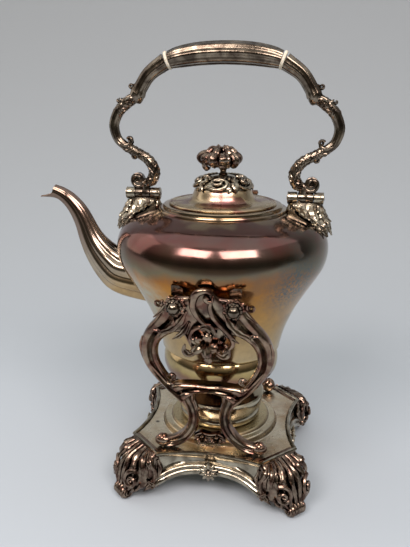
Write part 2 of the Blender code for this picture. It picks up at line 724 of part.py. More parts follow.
def finial_flower(owner, surface):
    core = (FLOWER_CORE, FLOWER_CORE, FLOWER_CORE * FLOWER_SQUASH_SHARE)
    made = pebble("finial_flower", (-FLOWER_SHIFT / 2, 0, FLOWER_HEIGHT), core, COARSE_RING, 6)
    for k in range(PETALS):
        spin = 2 * math.pi * (k + 0.5) / PETALS
        reach = PETAL_REACH + FLOWER_SHIFT * max(-math.cos(spin), 0)
        x = reach * math.cos(spin) - FLOWER_SHIFT / 2
        centre = (x, reach * math.sin(spin), FLOWER_HEIGHT - SHEET * (k % 2))
        turn = Matrix.Rotation(spin, 3, "Z") @ Matrix.Rotation(PETAL_DROOP, 3, "Y")
        unite(made, pebble("petal", centre, (PETAL_LENGTH, PETAL_WIDTH, PETAL_THICK), COARSE_RING, 4, turn))
    hole = ROD_RADIUS + GAP
    cut(made, bar("flower_hole", (0, 0, STEM_TOP - OVERRUN), (0, 0, STEM_TOP + OVERRUN + GAP), hole))
    cut(made, bar("stem_room", (0, 0, STEM_TOP - OVERRUN * 2), (0, 0, STEM_TOP + GAP), STEM_RADIUS + GAP * 2))
    return finish(made, surface, owner)


def finial_nut(owner, surface):
    top = lid_top_height(0) - SHEET - GAP
    made = bar("finial_nut", (0, 0, top - NUT_HEIGHT), (0, 0, top), NUT_RADIUS, NUT_SIDES)
    cut(made, bar("nut_hole", (0, 0, top - NUT_HEIGHT - OVERRUN), (0, 0, top + OVERRUN), ROD_RADIUS + GAP))
    return finish(made, surface, owner)


def handle_socket(name, sign, owner, surface):
    length, start = SOCKET_LENGTH, ARM_KNUCKLE_INNER
    leaf = None
    for along, width, proud in SOCKET_SHARES:
        x = start + along * length
        height = shoulder_height(x) + proud * SOCKET_PROUD
        radii = (length * SOCKET_LUMP_SHARE, SOCKET_HALF * width, SOCKET_PROUD * SOCKET_DEPTH_SHARE)
        lump = pebble("lump", (sign * x, 0, height - radii[2]), radii, COARSE_RING, 6)
        leaf = unite(leaf, lump) if leaf else lump
    x0, x1 = BARREL_INNER + SHEET, BARREL_OUTER - SHEET
    top = HINGE_Z - BARREL_RADIUS - GAP * 2
    neck = block("neck", (min(sign * x0, sign * x1), -SOCKET_NECK_HALF, top - SOCKET_NECK_HALF * 4),
                 (max(sign * x0, sign * x1), SOCKET_NECK_HALF, top))
    unite(leaf, neck)
    for near, far in ((BARREL_INNER, ARM_KNUCKLE_INNER - GAP), (ARM_KNUCKLE_OUTER + GAP, BARREL_OUTER)):
        low, high = sorted((sign * near, sign * far))
        ear = block("ear", (low + GAP, -SOCKET_EAR_HALF, top - SHEET), (high - GAP, SOCKET_EAR_HALF, HINGE_Z))
        knuckle = bar("knuckle", (low, 0, HINGE_Z), (high, 0, HINGE_Z), BARREL_RADIUS, ROUND)
        unite(leaf, ear, knuckle)
    near, far = BARREL_INNER - OVERRUN, BARREL_OUTER + OVERRUN
    bore = HINGE_PIN + PIN_CLEARANCE
    hole = bar("hole", (sign * near, 0, HINGE_Z), (sign * far, 0, HINGE_Z), bore, ROUND)
    cut(leaf, bowl_cutter(), hole)
    leaf.name = name
    return finish(leaf, surface, owner)


def shoulder_height(radius):
    """Height of the bowl's upper skin at a radius, above the widest line."""
    side = bowl_outline()
    run = side[side.index(max(side)):]
    for (r0, z0), (r1, z1) in zip(run, run[1:]):
        if r1 <= radius <= r0:
            return z0 + (z1 - z0) * (r0 - radius) / (r0 - r1)
    return run[0][1]


def handle_hinge_pin(name, sign, owner, surface):
    ends = (BARREL_INNER - SHEET / 2, BARREL_OUTER + SHEET / 2)
    made = bar(name, (sign * ends[0], 0, HINGE_Z), (sign * ends[1], 0, HINGE_Z), HINGE_PIN, ROUND)
    return finish(made, surface, owner)


def ivory_frame(sign):
    """Centre of an ivory ring and the handle's direction there, pointing down the arm."""
    centre = Vector((sign * IVORY_X, 0, IVORY_Z))
    along = Vector((sign * math.cos(IVORY_SLOPE), 0, -math.sin(IVORY_SLOPE)))
    return centre, along


def round_tube(name, knots, ring, depth_ratio, first=None, last=None):
    """A tapering tube through (x, z, radius) knots in the X-Z plane."""
    rings = []
    for i, knot in enumerate(knots):
        before, after = knots[max(i - 1, 0)], knots[min(i + 1, len(knots) - 1)]
        along = Vector((after[0] - before[0], 0, after[1] - before[1])).normalized()
        if i == 0 and first:
            along = first
        if i == len(knots) - 1 and last:
            along = last
        side = Vector((along.z, 0, -along.x))
        centre = Vector((knot[0], 0, knot[1]))
        across = Vector((0, knot[2] * depth_ratio, 0))
        turns = [2 * math.pi * k / ring for k in range(ring)]
        rings.append([centre + side * (knot[2] * math.cos(t)) + across * math.sin(t) for t in turns])
    return loft(name, rings)


def arm_spot(sign, bow, rise):
    """A point of the arm, from its shares of the outward bow and the height over the hinge."""
    return Vector((sign * (HINGE_X + bow * ARM_BOW), 0, HINGE_Z + rise * ARM_HEIGHT))


def handle_arm(name, sign, owner, surface):
    centre, along = ivory_frame(sign)
    start = centre + along * (IVORY_THICK / 2 + GAP)
    knots = [(start.x, start.z, ARM_RADIUS)]
    for bow, rise, size in ARM_SHARES:
        spot = arm_spot(sign, bow, rise)
        knots.append((spot.x, spot.z, size * ARM_RADIUS))
    run = smooth_run(knots, 2)
    arm = round_tube(name, run, COARSE_RING, ARM_DEPTH_RATIO, first=along)
    x, z = sign * (HINGE_X + VOLUTE_OFFSET), HINGE_Z + VOLUTE_RISE
    coil = bar("coil", (x, -VOLUTE_HALF, z), (x, VOLUTE_HALF, z), VOLUTE_RADIUS)
    low, high = sorted((sign * ARM_KNUCKLE_INNER, sign * ARM_KNUCKLE_OUTER))
    knuckle = bar("knuckle", (low, 0, HINGE_Z), (high, 0, HINGE_Z), BARREL_RADIUS, ROUND)
    web = block("web", (low + GAP, -VOLUTE_HALF + GAP, HINGE_Z + BARREL_RADIUS - SHEET),
                (high - GAP, VOLUTE_HALF - GAP, HINGE_Z + BARREL_RADIUS + SHEET * 2))
    unite(arm, coil, knuckle, web)
    for bow, rise in BUD_SHARES:
        bud = pebble("bud", arm_spot(sign, bow, rise), (BUD_RADIUS, BUD_RADIUS, BUD_RADIUS), COARSE_RING, 4)
        unite(arm, bud)
    bore = HINGE_PIN + PIN_CLEARANCE
    hole = bar("hole", (low - OVERRUN, 0, HINGE_Z), (high + OVERRUN, 0, HINGE_Z), bore, ROUND)
    reach = along * (TENON_REACH + GAP)
    tenon = bar("tenon_hole", start - along * OVERRUN, start + reach, TENON_RADIUS + GAP)
    cut(arm, hole, tenon)
    pivot(finish(arm, surface, owner), (sign * ARM_KNUCKLE_INNER, 0, HINGE_Z))
    return arm


def insulator(name, sign, owner, surface):
    centre, along = ivory_frame(sign)
    half = along * (IVORY_THICK / 2)
    made = bar(name, centre - half, centre + half, IVORY_RADIUS, ROUND)
    cut(made, bar("hole", centre - along * OVERRUN, centre + along * OVERRUN, TENON_RADIUS + GAP))
    return finish(made, surface, owner)


def handle_tenon(name, sign, owner, surface):
    centre, along = ivory_frame(sign)
    reach = along * (IVORY_THICK / 2 + TENON_REACH)
    return finish(bar(name, centre - reach, centre + reach, TENON_RADIUS), surface, owner)


def handle_grip(owner, surface):
    right, along = ivory_frame(1)
    end = right - along * (IVORY_THICK / 2 + GAP)
    rise = GRIP_TOP - end.z
    half = [(0, GRIP_TOP, GRIP_RADIUS)]
    half += [(end.x * x, GRIP_TOP - rise * drop, GRIP_RADIUS * size) for x, drop, size in GRIP_SHARES]
    half.append((end.x, end.z, GRIP_END_RADIUS))
    knots = [(-x, z, r) for x, z, r in half[:0:-1]] + half
    left_along = Vector((along.x, 0, -along.z))
    grip = round_tube("handle_grip", smooth_run(knots, 2), ROUND, 1, first=left_along, last=along)
    for sign in (-1, 1):
        centre, way = ivory_frame(sign)
        inside = way * (IVORY_THICK / 2 + TENON_REACH + GAP)
        cut(grip, bar("hole", centre - inside, centre, TENON_RADIUS + GAP))
    return finish(grip, surface, owner)


def lean_y(height):
    """Distance of the bracket's middle plane from the kettle axis at a height."""
    return BRACKET_Y + BRACKET_LEAN * (height - (BRACKET_FOOT + BALL_RADIUS))


def bracket_run(shares):
    """Points in X and Z from shares of the bracket's half width and height."""
    return [(x * BRACKET_HALF, BRACKET_FOOT + z * BRACKET_HEIGHT) for x, z in shares]


def mirrored(half):
    """Add the mirror image of one half outline, as one closed loop."""
    return half + [(-x, z) for x, z in half[::-1]]


def ball_arc():
    """The bracket's ball foot, from above its scroll round to the flat under it."""
    reach = BALL_RADIUS - SHEET
    middle = BRACKET_FOOT + BALL_RADIUS + GAP
    return [(BALL_X + reach * math.cos(t), middle + reach * math.sin(t)) for t in BALL_ARC]


def inset_loop(loop, distance):
    """Move every point of a counter-clockwise loop inwards by distance."""
    moved = []
    count = len(loop)
    for i, here in enumerate(loop):
        before, after = Vector(loop[i - 1]), Vector(loop[(i + 1) % count])
        one = (Vector(here) - before).normalized()
        two = (after - Vector(here)).normalized()
        way = (one + two).normalized()
        moved.append((here[0] - way.y * distance, here[1] + way.x * distance))
    return moved


def orient(loop, outward):
    area = sum(a[0] * b[1] - b[0] * a[1] for a, b in zip(loop, loop[1:] + loop[:1]))
    return loop if (area > 0) == outward else loop[::-1]


def pierced_plate(name, outer, holes, half, edge):
    """A pierced plate in X-Z, flat at +half, with every rim chamfered on its face at -half."""
    loops = [orient(outer, True)] + [orient(hole, False) for hole in holes]
    insets = [inset_loop(loop, edge) for loop in loops]
    levels = [(-half, insets), (-half + edge, loops), (half, loops)]
    points = []
    first = []
    for depth, group in levels:
        for loop in group:
            first.append(len(points))
            points += [(x, depth, z) for x, z in loop]
    faces = []
    count = len(loops)
    for level in range(len(levels) - 1):
        for n, loop in enumerate(loops):
            low, high = first[level * count + n], first[(level + 1) * count + n]
            size = len(loop)
            for k in range(size):
                side = (k + 1) % size
                faces.append((low + k, low + side, high + side, high + k))
    for level in (0, len(levels) - 1):
        base = first[level * count]
        flat = [[Vector((x, z, 0)) for x, z in loop] for loop in levels[level][1]]
        for triangle in tessellate_polygon(flat):
            faces.append(tuple(base + k for k in triangle))
    return make_object(name, points, faces)


def bracket(name, sign, owner, surface):
    """sign is -1 for the front bracket and 1 for the rear one."""
    outer = mirrored(bracket_run(BRACKET_OUTER_SHARES) + ball_arc() + bracket_run(BRACKET_INNER_SHARES))
    holes = [mirrored(bracket_run(WINDOW_SHARES)), mirrored(bracket_run(ARCH_SHARES))]
    made = pierced_plate(name, outer, holes, BRACKET_THICK / 2, BRACKET_EDGE)
    for x, z, size in BOUQUET_SHARES:
        radius = BOUQUET_RADIUS * size
        spot = (x * BRACKET_HALF, -BRACKET_THICK / 4, BRACKET_FOOT + z * BRACKET_HEIGHT)
        radii = (radius, BRACKET_THICK * BLOOM_DEPTH_SHARE, radius)
        unite(made, pebble("bloom", spot, radii, COARSE_RING, 6), solver=STURDY)
    for side in (-1, 1):
        centre = (side * BALL_X, 0, BRACKET_FOOT + BALL_RADIUS)
        radii = (BALL_RADIUS, BALL_RADIUS, BALL_RADIUS)
        unite(made, pebble("ball", centre, radii, SMALL_ROUND, 6), solver=STURDY)
        boss = (side * PIN_X, BRACKET_THICK / 2 - GAP, PIN_Z)
        face = (side * PIN_X, -BRACKET_THICK / 2 - SHEET / 2, PIN_Z)
        unite(made, bar("boss", face, boss, BOSS_RADIUS, BOSS_RING), solver=STURDY)
        x, z = bracket_run([KNOT_SHARES])[0]
        radii = (KNOT_RADIUS, BRACKET_THICK * KNOT_DEPTH_SHARE, KNOT_RADIUS)
        unite(made, pebble("knot", (side * x, -BRACKET_THICK / 4, z), radii, COARSE_RING, 4), solver=STURDY)
    for vertex in made.data.vertices:
        spot = vertex.co
        vertex.co = (spot.x, sign * (lean_y(spot.z) - spot.y), spot.z)
    if sign > 0:
        made.data.flip_normals()
    boss_y = lean_y(PIN_Z)
    for side in (-1, 1):
        run = (boss_y - BRACKET_THICK * 2, boss_y + BRACKET_THICK * 2)
        cut(made, bar("pin_hole", (side * PIN_X, sign * run[0], PIN_Z), (side * PIN_X, sign * run[1], PIN_Z),
                      PIN_RADIUS + PIN_RUN, ROUND), solver=STURDY)
        foot = (side * BALL_X, sign * BRACKET_Y, 0)
        top = BRACKET_FOOT + SCREW_REACH + GAP
        cut(made, bar("screw_hole", foot, (foot[0], foot[1], top), SCREW_RADIUS + GAP), solver=STURDY)
    floor = PLATE_TOP + GAP
    cut(made, block("floor_cut", (-BRACKET_HALF, -PLATE_HALF * 2, 0), (BRACKET_HALF, PLATE_HALF * 2, floor)),
        solver=STURDY)
    return finish(made, surface, owner, weld=False)


def kettle_strap(name, side, sign, open_below, owner, surface):
    """Lug on the bowl: bored on the spout side, open below on the other side."""
    x0, x1 = side * PIN_X - STRAP_HALF, side * PIN_X + STRAP_HALF
    y0, y1 = sorted((sign * STRAP_OUTER, sign * STRAP_INNER))
    bottom = PIN_Z - STRAP_DROP
    made = block(name, (x0, y0, bottom), (x1, y1, PIN_Z + STRAP_RISE))
    cut(made, bowl_cutter())
    span = (sign * (STRAP_INNER - OVERRUN), sign * (STRAP_OUTER + OVERRUN))
    hole = PIN_RADIUS + PIN_RUN
    cut(made, bar("hole", (side * PIN_X, span[0], PIN_Z), (side * PIN_X, span[1], PIN_Z), hole, ROUND))
    if open_below:
        low = bottom - OVERRUN
        ends = sorted(span)
        rings = []
        for y in ends:
            rings.append([(side * PIN_X - hole, y, PIN_Z), (side * PIN_X - hole - HOOK_FLARE, y, low),
                          (side * PIN_X + hole + HOOK_FLARE, y, low), (side * PIN_X + hole, y, PIN_Z)])
        cut(made, loft("slot", rings))
    return finish(made, surface, owner)


def kettle_pin(name, side, sign, owner, surface):
    face = lean_y(PIN_Z) + BRACKET_THICK / 2 + SHEET / 2 + BRACKET_LEAN * BOSS_RADIUS + GAP
    x = side * PIN_X
    made = bar(name, (x, sign * PIN_TIP, PIN_Z), (x, sign * (face + SHEET), PIN_Z), PIN_RADIUS, ROUND)
    head = bar("head", (x, sign * face, PIN_Z), (x, sign * (face + PIN_HEAD_THICK), PIN_Z),
               PIN_HEAD, SMALL_ROUND, PIN_HEAD * PIN_HEAD_SHARE)
    unite(made, head)
    pivot(finish(made, surface, owner), (side * PIN_X, sign * face, PIN_Z))
    return made


def plan_points():
    """Corners and hollow sides of the plateau: (x, y, outward x, outward y, arch share)."""
    run = []
    for quarter in range(4):
        turn = Matrix.Rotation(quarter * math.pi / 2, 2)
        for k in range(SIDE_STEPS + 1):
            t = -1 + 2 * k / SIDE_STEPS
            x = t * CHAMFER_HALF
            y = -PLATE_HALF + SIDE_HOLLOW * (1 - t * t)
            slope = -2 * SIDE_HOLLOW * t / CHAMFER_HALF
            out = Vector((slope, -1)).normalized()
            if k in (0, SIDE_STEPS):
                diagonal = Vector((math.copysign(1, t), -1)).normalized()
                out = (out + diagonal).normalized() / math.cos(out.angle(diagonal) / 2)
            spot = turn @ Vector((x, y))
            way = turn @ out
            run.append((spot.x, spot.y, way.x, way.y, abs(t) ** 3))
    return run


def plan_ring(distance, height, drop):
    return [(x + wx * distance, y + wy * distance, height - drop * BORDER_ARCH * arch)
            for x, y, wx, wy, arch in plan_points()]


def base_cutter():
    """A plain envelope round the border's outer face, grown by one gap."""
    rings = []
    for depth, height, drop in ENVELOPE_SHARES:
        rings.append(plan_ring(depth * BORDER_DEPTH + GAP, BORDER_BOTTOM + height * BORDER_HEIGHT, drop))
    top, bottom = ENVELOPE_SHARES[0], ENVELOPE_SHARES[-1]
    rings.insert(0, plan_ring(top[0] * BORDER_DEPTH + GAP, FOOT_TOP + OVERRUN, 0))
    rings.append(plan_ring(bottom[0] * BORDER_DEPTH - GAP, 0 - OVERRUN, 0))
    return loft("base_cutter", rings)


def base_border(owner, surface):
    rings = [plan_ring(depth * BORDER_DEPTH, BORDER_BOTTOM + height * BORDER_HEIGHT, drop)
             for depth, height, drop in BORDER_SHARES]
    return finish(loft("base_border", rings, closed=True), surface, owner)


def base_plate(owner, surface):
    low = PLATE_TOP - PLATE_THICK
    made = loft("base_plate", [plan_ring(-PLATE_INSET, low, 0), plan_ring(-PLATE_INSET, PLATE_TOP, 0)])
    steps = [
        (0, low + GAP), (STEP_RADIUS, low + GAP), (STEP_RADIUS, STEP_TOP - STEP_EDGE),
        (STEP_RADIUS - STEP_EDGE, STEP_TOP),
        (INNER_STEP_RADIUS, STEP_TOP), (INNER_STEP_RADIUS, INNER_STEP_TOP - STEP_EDGE / 2),
        (INNER_STEP_RADIUS - STEP_EDGE / 2, INNER_STEP_TOP), (0, INNER_STEP_TOP),
    ]
    unite(made, revolve("steps", steps, FINE_RING))
    room = INNER_STEP_RADIUS - PLATE_THICK
    hollow = [(0, 0), (room, 0), (room, STEP_TOP - PLATE_THICK / 2), (0, INNER_STEP_TOP - PLATE_THICK)]
    cut(made, revolve("hollow", hollow, ROUND))
    for side in (-1, 1):
        for sign in (-1, 1):
            spot = (side * BALL_X, sign * BRACKET_Y)
            cut(made, bar("hole", (*spot, 0), (*spot, PLATE_TOP + OVERRUN), SCREW_RADIUS + GAP))
    return finish(made, surface, owner)


def corner_foot(name, turn, owner, surface):
    """Foot on one corner: level slices swell from the border to a ridge, over a rolled toe."""
    rings = []
    for height, ridge, root, width in FOOT_SHARES:
        back = Vector((FOOT_START - OVERRUN, 0, height * FOOT_TOP))
        ring = [back + Vector((0, FOOT_HALF * width, 0)), back - Vector((0, FOOT_HALF * width, 0))]
        for k in range(FOOT_STEPS + 1):
            across = -math.cos(math.pi * k / FOOT_STEPS)
            swell = root + (ridge - root) * math.sin(math.pi * k / FOOT_STEPS) ** FOOT_ROUNDNESS
            x = FOOT_START + swell * FOOT_REACH
            ring.append(Vector((x, across * FOOT_HALF * width, height * FOOT_TOP)))
        rings.append(ring)
    made = loft(name, rings)
    toe = (FOOT_START + FOOT_REACH - TOE_RADIUS, TOE_RADIUS - TOE_SINK)
    unite(made, bar("toe", (toe[0], -TOE_HALF, toe[1]), (toe[0], TOE_HALF, toe[1]), TOE_RADIUS, BOSS_RING))
    made.data.transform(Matrix.Rotation(turn, 4, "Z"))
    reach = PLATE_HALF * 2
    floor = block("floor", (-reach, -reach, -FOOT_TOP), (reach, reach, 0))
    cut(made, base_cutter(), floor)
    return finish(made, surface, owner)


def side_shell(name, turn, owner, surface):
    """Fluted shell on the middle of one side, turned from the front one."""
    def ribs(spin, radius, height):
        return 1 + SHELL_RIB_SHARE * math.cos(SHELL_RIBS * spin) * min(radius / SHELL_RADIUS, 1)

    face = PLATE_HALF - SIDE_HOLLOW - BORDER_DEPTH
    top = PLATE_HALF - SIDE_HOLLOW + BORDER_DEPTH + SHELL_THICK / 2
    shoulder, rise = SHELL_FACE_SHARES
    outline = [(0, face), (SHELL_RADIUS, face), (SHELL_RADIUS, top - SHELL_THICK),
               (SHELL_RADIUS * shoulder, top - SHEET), (SHELL_RADIUS * rise, top), (0, top)]
    made = revolve(name, outline, 2 * SHELL_RIBS, swell=ribs)
    made.data.transform(Matrix.Rotation(math.pi / 2, 4, "X"))
    made.data.transform(Matrix.Diagonal((1, 1, SHELL_STRETCH, 1)))
    made.data.transform(Matrix.Translation((0, 0, BORDER_BOTTOM + SHELL_LIFT)))
    made.data.transform(Matrix.Rotation(turn, 4, "Z"))
    cut(made, base_cutter())
    return finish(made, surface, owner)


def bracket_screw(name, side, sign, owner, surface):
    spot = (side * BALL_X, sign * BRACKET_Y)
    under = PLATE_TOP - PLATE_THICK - GAP
    made = bar(name, (*spot, under - SHEET), (*spot, BRACKET_FOOT + SCREW_REACH), SCREW_RADIUS)
    unite(made, bar("head", (*spot, under - SCREW_HEAD_THICK), (*spot, under), SCREW_HEAD))
    return finish(made, surface, owner)


def lamp_outline():
    base = INNER_STEP_TOP + GAP
    return [(r * LAMP_RADIUS, base + h * LAMP_HEIGHT) for r, h in LAMP_SHARES]


def lamp_font(owner, surface):
    outer = lamp_outline()
    inner = offset_outline(outer, SHEET)
    base, top = outer[0][1], outer[-1][1]
    inner[0] = (inner[0][0] - SHEET, base + SHEET)
    outline = [(0, base)] + outer + [(LAMP_BORE, top), (LAMP_BORE, top - SHEET)]
    outline += inner[-2::-1] + [(0, base + SHEET)]
    made = revolve("lamp_font", outline, LAMP_RING)
    pivot(finish(made, surface, owner), (0, 0, base))
    return made


def burner_collar(owner, surface):
    top = lamp_outline()[-1][1]
    tube_top = top + COLLAR_THICK + TUBE_RISE
    inside = LAMP_BORE - GAP
    outline = [
        (TUBE_BORE, tube_top), (TUBE_RADIUS, tube_top), (TUBE_RADIUS, top + COLLAR_THICK + GAP),
        (COLLAR_RADIUS - SHEET, top + COLLAR_THICK), (COLLAR_RADIUS, top + COLLAR_THICK / 2),
        (COLLAR_RADIUS, top + GAP),
        (inside, top + GAP), (inside, top - COLLAR_DEPTH), (TUBE_BORE, top - COLLAR_DEPTH),
    ]
    return finish(revolve("burner_collar", outline, ROUND, closed=True), surface, owner)


def wick(owner, surface):
    bottom = lamp_outline()[0][1] + WICK_LIFT
    return finish(bar("wick", (0, 0, bottom), (0, 0, WICK_TOP), TUBE_BORE - GAP), surface, owner)


def box_middle():
    """Half way between the spout's tip and the handle's widest point, measured along X."""
    left = min(point.x for point in spout_rings(0, 0, BEAK_LENGTH)[-1])
    right = max(HINGE_X + bow * ARM_BOW + size * ARM_RADIUS for bow, rise, size in ARM_SHARES)
    return (left + right) / 2


def build():
    clear_scene()
    owner = bpy.data.objects.new("stand_origin", None)
    bpy.context.collection.objects.link(owner)
    owner.location = (-box_middle(), 0, 0)
    sheet, cast, copper = silver_sheet(), silver_cast(), copper_cast()
    ivory, steel, cotton = ivory_white(), steel_grey(), wick_cotton()
    kettle_body(owner, sheet)
    foot_roll(owner, sheet)
    spout(owner, sheet)
    lid_plate(owner, sheet)
    lid_hinge_bracket(owner, cast)
    lid_hinge_pin(owner, steel)
    lid_crown(owner, cast)
    finial_stem(owner, cast)
    finial_flower(owner, copper)
    finial_nut(owner, steel)
    for word, sign in (("left", -1), ("right", 1)):
        handle_socket("handle_socket_" + word, sign, owner, cast)
        handle_hinge_pin("handle_hinge_pin_" + word, sign, owner, steel)
        handle_arm("handle_arm_" + word, sign, owner, cast)
        insulator("insulator_" + word, sign, owner, ivory)
        handle_tenon("handle_tenon_" + word, sign, owner, steel)
    handle_grip(owner, cast)
    for place, sign in (("front", -1), ("rear", 1)):
        bracket("bracket_" + place, sign, owner, copper)
        for word, side in (("left", -1), ("right", 1)):
            kettle_strap("kettle_strap_" + place + "_" + word, side, sign, side > 0, owner, cast)
            kettle_pin("kettle_pin_" + place + "_" + word, side, sign, owner, cast)
            bracket_screw("bracket_screw_" + place + "_" + word, side, sign, owner, steel)
    base_border(owner, cast)
    base_plate(owner, sheet)
    corners = ("front_left", "front_right", "rear_right", "rear_left")
    for k, word in enumerate(corners):
        corner_foot("foot_" + word, math.radians(-135 + 90 * k), owner, copper)
    for k, word in enumerate(("front", "right", "rear", "left")):
        side_shell("side_shell_" + word, math.pi / 2 * k, owner, cast)
    lamp_font(owner, sheet)
    burner_collar(owner, cast)
    wick(owner, cotton)


build()
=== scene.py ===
# %% [markdown]
# A Victorian spirit kettle in worn silver plate, hung between two cast brackets over a spirit lamp.
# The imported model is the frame: every piece made here rides on one of its bodies and stands for some of its nodes.
# Lengths below are millimetres from the kettle's own axis, with the floor at zero height.
# %% The frame and its size
import math
import random
import bmesh
import bpy
import numpy as np
from mathutils import Matrix, Vector


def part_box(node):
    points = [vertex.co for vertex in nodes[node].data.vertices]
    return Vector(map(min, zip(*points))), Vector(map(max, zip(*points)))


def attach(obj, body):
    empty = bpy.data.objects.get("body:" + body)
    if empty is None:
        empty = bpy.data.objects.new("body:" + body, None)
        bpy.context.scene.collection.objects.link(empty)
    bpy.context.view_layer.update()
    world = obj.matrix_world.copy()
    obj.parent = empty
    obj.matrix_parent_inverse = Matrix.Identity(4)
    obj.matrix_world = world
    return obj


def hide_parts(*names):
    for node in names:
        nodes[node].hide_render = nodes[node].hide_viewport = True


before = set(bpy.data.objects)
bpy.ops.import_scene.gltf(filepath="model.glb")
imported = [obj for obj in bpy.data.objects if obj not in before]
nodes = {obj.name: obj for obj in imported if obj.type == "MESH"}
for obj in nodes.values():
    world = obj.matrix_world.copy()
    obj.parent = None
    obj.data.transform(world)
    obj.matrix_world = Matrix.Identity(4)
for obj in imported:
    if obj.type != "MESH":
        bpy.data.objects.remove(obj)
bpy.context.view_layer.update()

low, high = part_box("kettle_body")
AXIS = (low.x + high.x) / 2
MM = 0.001
chance = random.Random(7)
print("kettle axis at x =", round(AXIS, 5))

# %% [markdown]
# Small tools come first. Points are in millimetres from the kettle's axis, and a smooth run is drawn
# through a few measured knots, the way a pattern maker bends a spline through marked points.
# %% Runs through knots
def mix(a, b, t):
    return a + (b - a) * t


def run(knots, steps=8):
    """A smooth run through the knots, with steps pieces to each span."""
    k = np.array(knots, float)
    k = np.vstack([2 * k[0] - k[1], k, 2 * k[-1] - k[-2]])
    t = np.linspace(0, 1, steps, endpoint=False)[:, None]
    spans = [0.5 * (2 * b + (c - a) * t + (2 * a - 5 * b + 4 * c - d) * t ** 2 + (3 * b - a - 3 * c + d) * t ** 3)
             for a, b, c, d in zip(k, k[1:], k[2:], k[3:])]
    return np.vstack(spans + [k[-2][None]])


def round_section(count, reeds=0, depth=0.0):
    """Points of a circle, reeded when asked, as shares of the radius."""
    turn = np.arange(count) * 2 * math.pi / count
    reach = 1 + depth * np.cos(reeds * turn)
    return np.stack([reach * np.cos(turn), reach * np.sin(turn)], 1)


print("knots to points:", len(run([(0, 0), (1, 1), (2, 0)])))

# %% [markdown]
# Cast and swept pieces are skinned from rings: each ring is one cross-section, and neighbouring rings
# are joined by quads. The ends get a flat face, and normals are turned outward afterwards.
# %% Skins from rings
SHARP = math.radians(38)


def place(name, points, faces, sharp=SHARP):
    mesh = bpy.data.meshes.new(name)
    mesh.from_pydata((np.array(points, float) * MM + (AXIS, 0, 0)).tolist(), [], faces)
    net = bmesh.new()
    net.from_mesh(mesh)
    bmesh.ops.remove_doubles(net, verts=net.verts, dist=1e-6)
    bmesh.ops.recalc_face_normals(net, faces=net.faces)
    net.to_mesh(mesh)
    net.free()
    mesh.shade_smooth()
    mesh.set_sharp_from_angle(angle=sharp)
    made = bpy.data.objects.new(name, mesh)
    bpy.context.scene.collection.objects.link(made)
    return made


def ring_faces(rings, around, start=0, loop=False):
    """Faces between rings of equal size; open runs get a cap at each end."""
    faces = []
    for i in range(rings if loop else rings - 1):
        here, there = start + i * around, start + (i + 1) % rings * around
        faces += [(here + k, here + (k + 1) % around, there + (k + 1) % around, there + k) for k in range(around)]
    if not loop:
        faces.append(tuple(start + k for k in range(around - 1, -1, -1)))
        faces.append(tuple(start + (rings - 1) * around + k for k in range(around)))
    return faces


class Casting:
    """Collects many skins that leave the mould as one piece."""
    def __init__(self):
        self.points, self.faces = [], []

    def skin(self, rings, loop=False):
        rings = np.asarray(rings, float)
        self.faces += ring_faces(rings.shape[0], rings.shape[1], len(self.points), loop)
        self.points += rings.reshape(-1, 3).tolist()
        return self

    def done(self, name, move=None, sharp=SHARP):
        points = np.array(self.points)
        if move is not None:
            points = move(points)
        return place(name, points, self.faces, sharp)


def sweep(path, wide, deep, section, across):
    """Rings of a section carried along a path: its first share lies in the bend, its second along across."""
    path = np.asarray(path, float)
    way = np.gradient(path, axis=0)
    way /= np.linalg.norm(way, axis=1)[:, None]
    over = np.broadcast_to(np.array(across, float), path.shape)
    side = np.cross(over, way)
    side /= np.linalg.norm(side, axis=1)[:, None]
    over = np.cross(way, side)
    wide, deep = (np.broadcast_to(np.asarray(v, float), len(path)) for v in (wide, deep))
    return (path[:, None] + section[None, :, :1] * wide[:, None, None] * side[:, None]
            + section[None, :, 1:] * deep[:, None, None] * over[:, None])


def tube(path, radius, around=12, across=(0, 1, 0)):
    return sweep(path, radius, radius, round_section(around), across)


def drop(centre, along, over, length, width, height, around=8, rows=5):
    """A teardrop lump: one leaf lobe, petal or bead of a casting."""
    along = np.array(along, float) / np.linalg.norm(along)
    over = np.array(over, float) / np.linalg.norm(over)
    t = np.linspace(0.04, 0.97, rows)
    path = np.array(centre, float) + (t[:, None] - 0.5) * length * along
    swell = np.sin(math.pi * t ** 0.8)
    return sweep(path, width / 2 * swell, height / 2 * swell, round_section(around), over)


def spiral(centre, start, end, turns, begin, count=48):
    """Points of a flat spiral in X and Z about centre, from radius start to end."""
    t = np.linspace(0, 1, count)
    reach = start * (end / start) ** t
    turn = begin + turns * 2 * math.pi * t
    return np.stack([centre[0] + reach * np.cos(turn), np.full(count, 0.0), centre[1] + reach * np.sin(turn)], 1)


print("casting tools ready")

# %% [markdown]
# Worn plate has three colours at once: silver where it still covers, brown and violet where the sulphide
# film is thick, and copper red where rubbing has gone through. Cast pieces are also darkened in their
# hollows, by painted shade together with the tarnish there. All colours are given as they look on a screen.
# %% Colours and nodes
def colour(code):
    """Screen hex to linear RGBA."""
    parts = [int(code[i:i + 2], 16) / 255 for i in (0, 2, 4)]
    return tuple(p / 12.92 if p <= 0.04045 else ((p + 0.055) / 1.055) ** 2.4 for p in parts) + (1.0,)


def node(tree, kind, inputs=(), **settings):
    made = tree.nodes.new(kind)
    for key, value in settings.items():
        setattr(made, key, value)
    for socket, source in dict(inputs).items():
        if isinstance(source, bpy.types.NodeSocket):
            tree.links.new(source, made.inputs[socket])
        else:
            made.inputs[socket].default_value = source
    return made


def ramp(tree, factor, stops):
    made = node(tree, "ShaderNodeValToRGB", {"Fac": factor})
    table = made.color_ramp.elements
    while len(table) < len(stops):
        table.new(0.5)
    for element, (spot, tone) in zip(table, stops):
        element.position = spot
        element.color = colour(tone)
    return made.outputs["Color"]


